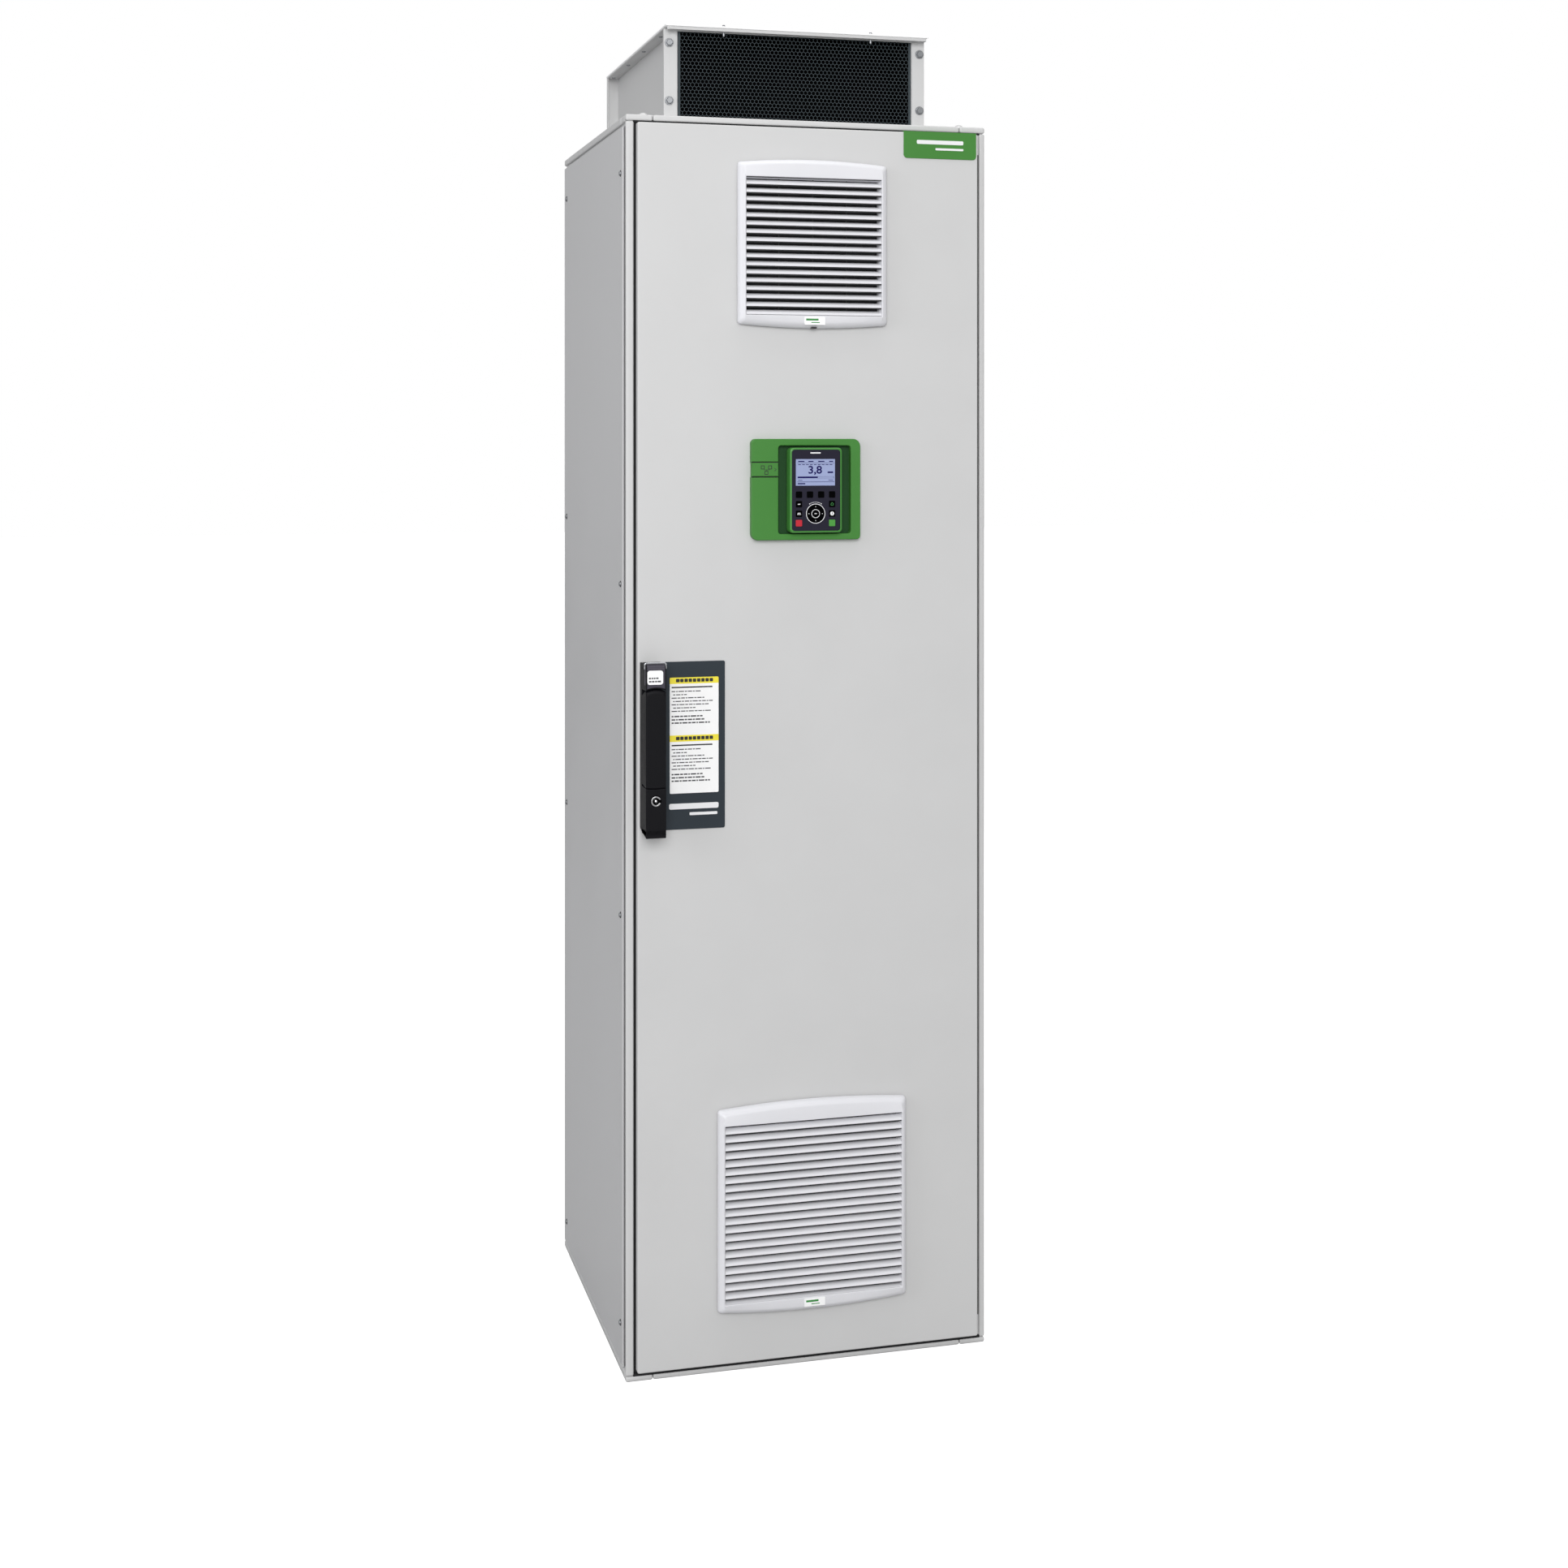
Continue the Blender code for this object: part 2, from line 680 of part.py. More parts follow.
# ---- handle and lock -------------------------------------------------------------------------
def handle_base():
    """Escutcheon: a back plate with a lock block below the lever and a label block above it."""
    back = DOOR_FACE - GAP
    shelf = LEVER_BACK + 0.0007
    profile = [
        (back, HANDLE_LOW + 0.004), (HANDLE_FRONT, HANDLE_LOW), (HANDLE_FRONT, LEVER_LOW - 0.0014),
        (shelf, LEVER_LOW - 0.0014), (shelf, 1.0900), (HANDLE_FRONT, 1.0910), (HANDLE_FRONT, 1.1300),
        (HANDLE_FRONT + 0.004, 1.1350), (-0.3120, HANDLE_TOP), (back, HANDLE_TOP),
    ]
    base = outline(
        "handle_base", [profile], "YZ", HANDLE_X - HANDLE_HALF, HANDLE_X + HANDLE_HALF, "black_plastic"
    )
    edge = base.modifiers.new("rounded_edges", "BEVEL")
    edge.width = 0.0012
    edge.segments = 2
    edge.limit_method = "ANGLE"
    edge.angle_limit = math.radians(50)
    sweep = cylinder(
        "lever_sweep", (HANDLE_X, HANDLE_FRONT - 0.01 + (shelf - HANDLE_FRONT + 0.01) / 2, TURN_Z),
        LEVER_HIGH - TURN_Z + 0.0024, shelf - HANDLE_FRONT + 0.01, "Y", sides=96,
    )
    spindle_hole = cylinder("base_spindle_hole", (HANDLE_X, shelf, TURN_Z), 0.0062, 0.05, "Y")
    lock_hole = cylinder(
        "base_lock_hole", (HANDLE_X, HANDLE_FRONT, LOCK_Z), LOCK_RADIUS + GAP, 0.026, "Y", sides=40
    )
    return cut(base, sweep, spindle_hole, lock_hole)


def handle_lever():
    """Lever that turns with the spindle and lifts about a pin near its front top edge."""
    low_back = LEVER_LOW + 0.0030
    nose = arc((LIFT_Y, LIFT_Z), LEVER_NOSE, 180, 75, 6)
    profile = [
        (HANDLE_FRONT, LEVER_LOW), *nose, (-0.3120, 1.0950), (-0.3040, 1.0900),
        (LEVER_BACK, 1.0850), (LEVER_BACK, low_back),
    ]
    left = HANDLE_X - HANDLE_HALF
    right = HANDLE_X + HANDLE_HALF
    lever = outline("handle_lever", [profile], "YZ", left, right, "black_plastic")
    radius = LEVER_HIGH - TURN_Z
    reach = math.degrees(math.asin(HANDLE_HALF / radius))
    lower_radius = TURN_Z - LEVER_LOW
    lower_reach = math.degrees(math.asin(HANDLE_HALF / lower_radius))
    front_shape = [
        *arc((HANDLE_X, TURN_Z), radius, 90 - reach, 90 + reach, 8),
        *arc((HANDLE_X, TURN_Z), lower_radius, 270 - lower_reach, 270 + lower_reach, 8),
    ]
    trim = outline("lever_trim", [front_shape], "XZ", HANDLE_FRONT - 0.01, LEVER_BACK + 0.01)
    boolean(lever, trim, "INTERSECT")
    slot = box(
        "lever_slot",
        (HANDLE_X - 0.0066, LIFT_Y - 0.0035, LIFT_Z - 0.060),
        (HANDLE_X + 0.0066, LEVER_BACK + 0.01, LIFT_Z + 0.02),
    )
    return cut(lever, slot)


def handle_spindle():
    """Square shaft through the door, with a lug that carries the lever's pin."""
    half = 0.0040
    shaft = box(
        "handle_spindle",
        (HANDLE_X - half, LEVER_BACK - 0.004, TURN_Z - half), (HANDLE_X + half, -0.2640, TURN_Z + half),
        "zinc_steel",
    )
    eye = arc((LIFT_Y, LIFT_Z), 0.0030, 170, 10, 8)
    lug_profile = [
        (LIFT_Y - 0.002, LIFT_Z - 0.012), *eye, (LEVER_BACK - 0.002, TURN_Z + 0.022),
        (LEVER_BACK - 0.002, TURN_Z - 0.008), (LEVER_BACK - 0.008, TURN_Z - 0.008),
    ]
    lug = outline("spindle_lug", [lug_profile], "YZ", HANDLE_X - 0.0060, HANDLE_X + 0.0060)
    return join(shaft, lug)


def lock_cylinder():
    """Double-bit lock insert: a round plug with a ring-shaped key slot and a centre pin."""
    front = HANDLE_FRONT + 0.0005
    back = HANDLE_FRONT + 0.0125
    plug = cylinder(
        "lock_cylinder", (HANDLE_X, (front + back) / 2, LOCK_Z), LOCK_RADIUS, back - front, "Y",
        "lock_metal", 40,
    )
    slot = cylinder("key_slot", (HANDLE_X, front, LOCK_Z), 0.0052, 0.014, "Y")
    pin = cylinder("key_pin", (HANDLE_X, front + 0.0045, LOCK_Z), 0.0017, 0.008, "Y", sides=16)
    cut(plug, slot)
    return join(plug, pin)


def lock_gearbox():
    """Housing behind the door that turns the spindle's rotation into the rods' travel."""
    gearbox = box(
        "lock_gearbox",
        (-0.2730, DOOR_INNER + GAP, TURN_Z - 0.045), (-0.2440, -0.2620, TURN_Z + 0.045),
        "zinc_steel",
    )
    channel = box(
        "rod_channel", (-0.2705, -0.2797, TURN_Z - 0.05), (-0.2575, -0.2747, TURN_Z + 0.05)
    )
    bore = cylinder("gearbox_bore", (HANDLE_X, -0.271, TURN_Z), 0.0062, 0.04, "Y")
    return cut(gearbox, channel, bore)


def lock_rods():
    """Flat rods that run from the gearbox to the top and bottom of the frame's opening."""
    left = -0.2700
    right = -0.2580
    near = -0.2792
    far = -0.2752
    inner = 0.028
    clear = 0.0015
    box(
        "upper_lock_rod", (left, near, TURN_Z + inner), (right, far, HEIGHT - RAIL - clear),
        "zinc_steel",
    )
    box("lower_lock_rod", (left, near, RAIL + clear), (right, far, TURN_Z - inner), "zinc_steel")


# ---- operating terminal ----------------------------------------------------------------------
def terminal_holder():
    face = DOOR_FACE - GAP
    shape = rounded_rectangle(
        HOLDER_LEFT, HOLDER_RIGHT, HOLDER_LOW, HOLDER_HIGH, (0.011, 0.006, 0.012, 0.008)
    )
    holder = outline("terminal_holder", [shape], "XZ", HOLDER_FRONT, face, "green_plastic")
    edge = holder.modifiers.new("chamfered_edges", "BEVEL")
    edge.width = 0.0025
    edge.segments = 2
    edge.limit_method = "ANGLE"
    edge.angle_limit = math.radians(60)
    recess = box(
        "holder_recess",
        (RECESS_LEFT, HOLDER_FRONT - 0.01, RECESS_LOW), (RECESS_RIGHT, HOLDER_FLOOR, RECESS_HIGH),
    )
    port = box(
        "holder_port_track",
        (HOLDER_LEFT - 0.01, HOLDER_FRONT - 0.01, PORT_LOW),
        (RECESS_LEFT + 0.001, HOLDER_FRONT + PORT_THICK + GAP, PORT_HIGH),
    )
    socket = box(
        "holder_port_socket",
        (-0.1000, HOLDER_FRONT - 0.01, PORT_LOW + 0.004), (-0.0890, HOLDER_FRONT + 0.0095, PORT_HIGH - 0.004),
    )
    cable_hole = cylinder("holder_cable_hole", (TERMINAL_X, face, 1.400), 0.0112, 0.02, "Y")
    return cut(holder, recess, port, socket, cable_hole)


def port_cover():
    """Shutter that slides right, towards the terminal, over the service port."""
    return box(
        "port_cover",
        (HOLDER_LEFT, HOLDER_FRONT, PORT_LOW + 0.0006),
        (RECESS_LEFT, HOLDER_FRONT + PORT_THICK, PORT_HIGH - 0.0006),
        "green_plastic", 0.0006, 1,
    )


KEY_PLACES = {
    "key_f1": (0, 0, "key_black"), "key_f2": (1, 0, "key_black"),
    "key_f3": (2, 0, "key_black"), "key_f4": (3, 0, "key_black"),
    "key_escape": (0, 1, "key_black"), "key_home": (3, 1, "key_black"),
    "key_local_remote": (0, 2, "key_black"), "key_info": (3, 2, "key_black"),
    "key_stop": (0, 3, "key_red"), "key_run": (3, 3, "key_green"),
}


def terminal_case():
    shape = rounded_rectangle(
        TERMINAL_X - TERMINAL_HALF, TERMINAL_X + TERMINAL_HALF, TERMINAL_LOW, TERMINAL_HIGH,
        (0.006, 0.006, 0.006, 0.006),
    )
    case = outline("terminal_case", [shape], "XZ", TERMINAL_FRONT, TERMINAL_BACK, "terminal_green")
    inside = box(
        "case_inside",
        (TERMINAL_X - 0.0400, TERMINAL_FRONT + 0.0070, TERMINAL_LOW + 0.003),
        (TERMINAL_X + 0.0400, TERMINAL_BACK + 0.01, TERMINAL_HIGH - 0.003),
    )
    screen_seat = box(
        "screen_seat",
        (KEYS_X - SCREEN_HALF - GAP, TERMINAL_FRONT - 0.01, SCREEN_LOW - GAP),
        (KEYS_X + SCREEN_HALF + GAP, TERMINAL_FRONT + 0.0030, SCREEN_HIGH + GAP),
    )
    cut(case, inside, screen_seat)
    pocket = KEY_SIZE / 2 + GAP
    floor = TERMINAL_FRONT + KEY_DEEP + 0.0018
    for name, (column, row, _) in KEY_PLACES.items():
        x = KEYS_X + KEY_COLUMNS[column]
        z = KEY_ROWS[row]
        well = box(
            name + "_well", (x - pocket, TERMINAL_FRONT - 0.01, z - pocket), (x + pocket, floor, z + pocket)
        )
        cut(case, well)
    wheel_well = cylinder(
        "wheel_well", (KEYS_X, floor - 0.01, KEY_ROWS[2]), WHEEL_RADIUS + GAP, 0.02, "Y", sides=48
    )
    return cut(case, wheel_well)


def terminal_controls():
    front = TERMINAL_FRONT - KEY_PROUD
    back = TERMINAL_FRONT + KEY_DEEP
    half = KEY_SIZE / 2
    for name, (column, row, finish) in KEY_PLACES.items():
        x = KEYS_X + KEY_COLUMNS[column]
        z = KEY_ROWS[row]
        box(name, (x - half, front, z - half), (x + half, back, z + half), finish, 0.0008, 1)
    centre = (KEYS_X, (front + back) / 2, KEY_ROWS[2])
    wheel = cylinder("nav_wheel", centre, WHEEL_RADIUS, back - front, "Y", "key_black", 48)
    bore = cylinder("wheel_bore", centre, OK_RADIUS + GAP, 0.02, "Y")
    cut(wheel, bore)
    cylinder("ok_button", centre, OK_RADIUS, back - front, "Y", "key_black", 32)
    box(
        "lcd_screen",
        (KEYS_X - SCREEN_HALF, TERMINAL_FRONT + 0.0006, SCREEN_LOW),
        (KEYS_X + SCREEN_HALF, TERMINAL_FRONT + 0.0027, SCREEN_HIGH),
        "screen_glass",
    )


# ---- drive module and power parts ------------------------------------------------------------
def drive_module_case():
    case = box(
        "drive_module_case",
        (-CASE_HALF, CASE_FRONT, CASE_LOW), (CASE_HALF, CASE_BACK, CASE_HIGH), "case_steel",
    )
    wall = 0.003
    hollow = box(
        "case_hollow",
        (-CASE_HALF + wall, CASE_FRONT + wall, CASE_LOW + wall),
        (CASE_HALF - wall, CASE_BACK + 0.01, CASE_HIGH - wall),
    )
    cut(case, hollow)
    for index in range(5):
        x = -0.112 + 0.056 * index
        vent = box("case_vent", (x - 0.020, -0.060, CASE_LOW - 0.01), (x + 0.020, 0.080, CASE_HIGH + 0.01))
        cut(case, vent)
    return case


def heatsink():
    """Finned block, its fins towards the rear and its channels vertical."""
    fins = 14
    half = 0.150
    base_front = CASE_BACK + GAP
    base_back = base_front + 0.014
    tip = MOUNT_Y - GAP
    pitch = 2 * half / (fins - 0.5)
    points = [(-half, base_front), (half, base_front)]
    for fin in range(fins):
        right = half - pitch * fin
        left = right - pitch / 2
        points += [(right, base_back), (right, tip), (left, tip), (left, base_back)]
    points[-4:] = [(points[-4][0], base_back), (points[-3][0], tip), (-half, tip)]
    del points[2]
    return outline("heatsink", [points], "XY", 0.980, 1.660, "heatsink_alloy")


def capacitor_bank():
    """Six upright capacitors on a common plate, inside the module's case."""
    plate = box("capacitor_bank", (-0.140, -0.080, 1.120), (0.140, 0.110, 1.126), "capacitor_sleeve")
    for row in range(2):
        for column in range(3):
            centre = (-0.090 + 0.090 * column, -0.032 + 0.090 * row, 1.215)
            join(plate, cylinder("capacitor", centre, 0.038, 0.184, "Z", sides=24))
    return plate


def fan_housing():
    half = MOUNT_Y - GAP - FAN_Y
    depth = 0.050
    housing = box(
        "fan_housing",
        (-half, FAN_Y - half, FAN_Z - depth / 2), (half, FAN_Y + half, FAN_Z + depth / 2),
        "fan_plastic",
    )
    throat = cylinder("fan_throat", (0, FAN_Y, FAN_Z), 0.0605, 0.1, "Z", sides=48)
    cut(housing, throat)
    strut_low = FAN_Z - depth / 2
    for angle in (30, 150, 270):
        strut = box("fan_strut", (0.0, -0.004, -0.002), (0.063, 0.004, 0.002))
        turn = Matrix.Rotation(math.radians(angle), 4, "Z")
        place = Matrix.Translation((0, FAN_Y, strut_low + 0.002))
        strut.matrix_world = place @ turn @ Matrix.Translation((0.0315, 0, 0))
        join(housing, strut)
    motor = cylinder("fan_motor_base", (0, FAN_Y, strut_low + 0.004), 0.022, 0.008, "Z", sides=24)
    shaft = cylinder("fan_shaft", (0, FAN_Y, FAN_Z - 0.004), 0.003, 0.030, "Z", sides=12)
    join(housing, motor, shaft)


def fan_rotor():
    """Hub with seven pitched blades; it turns about +Z on the housing's shaft."""
    hub_low = FAN_Z - 0.0165
    hub_high = FAN_Z + 0.020
    hub = cylinder(
        "fan_rotor", (0, FAN_Y, (hub_low + hub_high) / 2), 0.021, hub_high - hub_low, "Z",
        "fan_plastic", 28,
    )
    for index in range(7):
        blade = box("fan_blade", (-0.019, -0.014, -0.0011), (0.019, 0.014, 0.0011))
        turn = Matrix.Rotation(math.radians(360 / 7 * index), 4, "Z")
        pitch = Matrix.Rotation(math.radians(34), 4, "X")
        place = Matrix.Translation((0, FAN_Y, (hub_low + hub_high) / 2))
        blade.matrix_world = place @ turn @ Matrix.Translation((0.0375, 0, 0)) @ pitch
        join(hub, blade)
    bore = cylinder(
        "rotor_bore", (0, FAN_Y, hub_low + 0.013), 0.003 + GAP, 0.030, "Z", sides=12
    )
    return cut(hub, bore)


def power_terminal_block():
    """Row of six power studs' wells between insulating walls, on the mounting plate."""
    low = 0.620
    high = 0.700
    back = MOUNT_Y - GAP
    front = back - 0.070
    block = box("power_terminal_block", (-0.150, front, low), (0.150, back, high), "terminal_resin")
    for index in range(6):
        x = -0.125 + 0.050 * index
        well = box(
            "terminal_well", (x - 0.020, front - 0.01, low + 0.020), (x + 0.020, back - 0.030, high + 0.01)
        )
        cut(block, well)
    return block


def control_block():
    """Control terminals on the front of the module's case."""
    back = CASE_FRONT - GAP
    front = back - 0.040
    block = box("control_block", (-0.100, front, 1.040), (0.100, back, 1.160), "terminal_resin")
    for row in range(2):
        z = 1.060 + 0.056 * row
        well = box("control_well", (-0.092, front - 0.01, z), (0.092, front + 0.012, z + 0.024))
        cut(block, well)
    return block


def line_reactor():
    """Three windings on a laminated core with two windows."""
    back = MOUNT_Y - GAP
    core = box("line_reactor", (-0.130, back - 0.110, 0.100), (0.130, back - 0.040, 0.340), "core_steel")
    for side in (-1, 1):
        x = side * 0.0575
        window = box("core_window", (x - 0.035, back - 0.12, 0.140), (x + 0.035, back - 0.03, 0.300))
        cut(core, window)
    for x in (-0.107, 0.0, 0.107):
        winding = box(
            "winding", (x - 0.036, back - 0.135, 0.150), (x + 0.036, back - 0.015, 0.290), None, 0.012, 2
        )
        join(core, winding)
    for side in (-1, 1):
        x = side * 0.100
        foot = box("reactor_foot", (x - 0.020, back - 0.060, 0.086), (x + 0.020, back, 0.104))
        join(core, foot)
    return core


def build():
    frame_ring("bottom_frame", 0.0, RAIL, (PANEL_LOW - 0.0005, RAIL + 0.01))
    frame_ring("top_frame", HEIGHT - RAIL, HEIGHT, (HEIGHT - RAIL - 0.01, PANEL_HIGH + 0.0005))
    uprights()
    side_panel("side_panel_left", -1)
    side_panel("side_panel_right", 1)
    rear_panel()
    roof_panel()
    gland_plate()
    mounting_plate()
    hood()
    door_panel()
    door_gasket()
    for level, height in HINGE_HEIGHTS.items():
        hinge(level, height)
    corner_plate()
    label_plate()
    for level in GRILLE_SIZES:
        grille(level)
    handle_base()
    handle_lever()
    handle_spindle()
    lock_cylinder()
    lock_gearbox()
    lock_rods()
    terminal_holder()
    port_cover()
    terminal_case()
    terminal_controls()
    drive_module_case()
    heatsink()
    capacitor_bank()
    fan_housing()
    fan_rotor()
    power_terminal_block()
    control_block()
    line_reactor()


build()
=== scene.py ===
"""Looks of the enclosed variable frequency drive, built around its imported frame, in metres."""
import math

import bmesh
import bpy
from mathutils import Matrix, Vector


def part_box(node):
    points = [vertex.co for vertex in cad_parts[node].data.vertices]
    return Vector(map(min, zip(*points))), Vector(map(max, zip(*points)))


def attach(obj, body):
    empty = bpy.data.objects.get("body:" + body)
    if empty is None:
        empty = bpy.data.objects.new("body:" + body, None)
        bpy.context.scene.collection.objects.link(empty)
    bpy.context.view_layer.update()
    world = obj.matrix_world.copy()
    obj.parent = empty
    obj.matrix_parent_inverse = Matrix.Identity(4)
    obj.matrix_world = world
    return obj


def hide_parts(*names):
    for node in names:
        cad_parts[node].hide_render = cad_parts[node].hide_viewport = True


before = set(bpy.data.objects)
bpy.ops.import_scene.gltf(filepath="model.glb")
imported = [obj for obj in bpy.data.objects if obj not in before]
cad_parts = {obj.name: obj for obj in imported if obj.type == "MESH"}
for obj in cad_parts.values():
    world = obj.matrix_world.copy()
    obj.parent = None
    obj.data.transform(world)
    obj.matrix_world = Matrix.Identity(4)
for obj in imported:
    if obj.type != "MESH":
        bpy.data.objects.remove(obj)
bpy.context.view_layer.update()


def box_of(node):
    """Low and high corner of a CAD node."""
    low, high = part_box(node)
    return Vector(low), Vector(high)


# ---- places taken from the frame ---------------------------------------------------------------
DOOR_LOW, DOOR_HIGH = box_of("door_panel")
FRAME_LOW, _ = box_of("bottom_frame")
_, FRAME_HIGH = box_of("top_frame")
HOOD_LOW, HOOD_HIGH = box_of("hood_shell")
ROOF_LOW, ROOF_HIGH = box_of("hood_roof")
BASE_LOW, BASE_HIGH = box_of("handle_base")
LEVER_LOW, LEVER_HIGH = box_of("handle_lever")
PLATE_LOW, PLATE_HIGH = box_of("label_plate")
CORNER_LOW, CORNER_HIGH = box_of("corner_plate")
HOLDER_LOW, HOLDER_HIGH = box_of("terminal_holder")
PORT_LOW, PORT_HIGH = box_of("port_cover")
CASE_LOW, CASE_HIGH = box_of("terminal_case")
SCREEN_LOW, SCREEN_HIGH = box_of("lcd_screen")
WHEEL_LOW, WHEEL_HIGH = box_of("nav_wheel")
OK_LOW, OK_HIGH = box_of("ok_button")
LOCK_LOW, LOCK_HIGH = box_of("lock_cylinder")
LOCK_Z = (LOCK_LOW.z + LOCK_HIGH.z) / 2
LOCK_WELL = (LOCK_HIGH.z - LOCK_LOW.z) / 2 + 0.0005

HALF = FRAME_HIGH.x
FRONT = FRAME_LOW.y
REAR = FRAME_HIGH.y
TOP = FRAME_HIGH.z
DOOR_FACE = DOOR_LOW.y
PIVOT_Z = 1.060                 # height of the spindle that the lever turns
HAIR = 0.0003                   # thickness of print and of the air under a thin layer


# ---- materials ----------------------------------------------------------------------------------
def linear(value):
    """An 0 to 255 screen value as a linear share."""
    share = value / 255
    if share <= 0.04045:
        return share / 12.92
    return ((share + 0.055) / 1.055) ** 2.4


def colour(rgb, scale=1.0):
    return (*[min(1.0, linear(v) * scale) for v in rgb], 1.0)


def noise(tree, source, scale, detail=3.0):
    node = tree.nodes.new("ShaderNodeTexNoise")
    node.inputs["Scale"].default_value = scale
    node.inputs["Detail"].default_value = detail
    tree.links.new(source, node.inputs["Vector"])
    return node.outputs["Fac"]


def spread(tree, value, low, high):
    """Map a noise value to a range around its middle."""
    node = tree.nodes.new("ShaderNodeMapRange")
    node.inputs["From Min"].default_value = 0.3
    node.inputs["From Max"].default_value = 0.7
    node.inputs["To Min"].default_value = low
    node.inputs["To Max"].default_value = high
    tree.links.new(value, node.inputs["Value"])
    return node.outputs["Result"]


def surface(rgb, roughness=0.5, metallic=0.0, grain=900.0, bump=0.06, mottle=0.02,
            stretch=(1, 1, 1), coat=0.0, glow=0.0, specular=0.5):
    """A procedural finish: tiny relief, uneven gloss and slightly uneven colour."""
    made = bpy.data.materials.new("finish")
    made.use_nodes = True
    tree = made.node_tree
    shader = tree.nodes["Principled BSDF"]
    place = tree.nodes.new("ShaderNodeTexCoord")
    scale = tree.nodes.new("ShaderNodeMapping")
    scale.inputs["Scale"].default_value = stretch
    tree.links.new(place.outputs["Object"], scale.inputs["Vector"])
    fine = noise(tree, scale.outputs["Vector"], grain)
    broad = noise(tree, scale.outputs["Vector"], 7.0, 4.0)
    mix = tree.nodes.new("ShaderNodeMix")
    mix.data_type = "RGBA"
    mix.inputs["A"].default_value = colour(rgb, 1.0 - mottle)
    mix.inputs["B"].default_value = colour(rgb, 1.0 + mottle)
    tree.links.new(spread(tree, broad, 0.0, 1.0), mix.inputs["Factor"])
    tree.links.new(mix.outputs["Result"], shader.inputs["Base Color"])
    rough = spread(tree, broad, max(0.02, roughness - 0.04), min(1.0, roughness + 0.04))
    tree.links.new(rough, shader.inputs["Roughness"])
    relief = tree.nodes.new("ShaderNodeBump")
    relief.inputs["Strength"].default_value = bump
    relief.inputs["Distance"].default_value = 0.0004
    tree.links.new(fine, relief.inputs["Height"])
    tree.links.new(relief.outputs["Normal"], shader.inputs["Normal"])
    shader.inputs["Metallic"].default_value = metallic
    shader.inputs["Coat Weight"].default_value = coat
    shader.inputs["Specular IOR Level"].default_value = specular
    if glow:
        shader.inputs["Emission Color"].default_value = colour(rgb)
        shader.inputs["Emission Strength"].default_value = glow
    return made


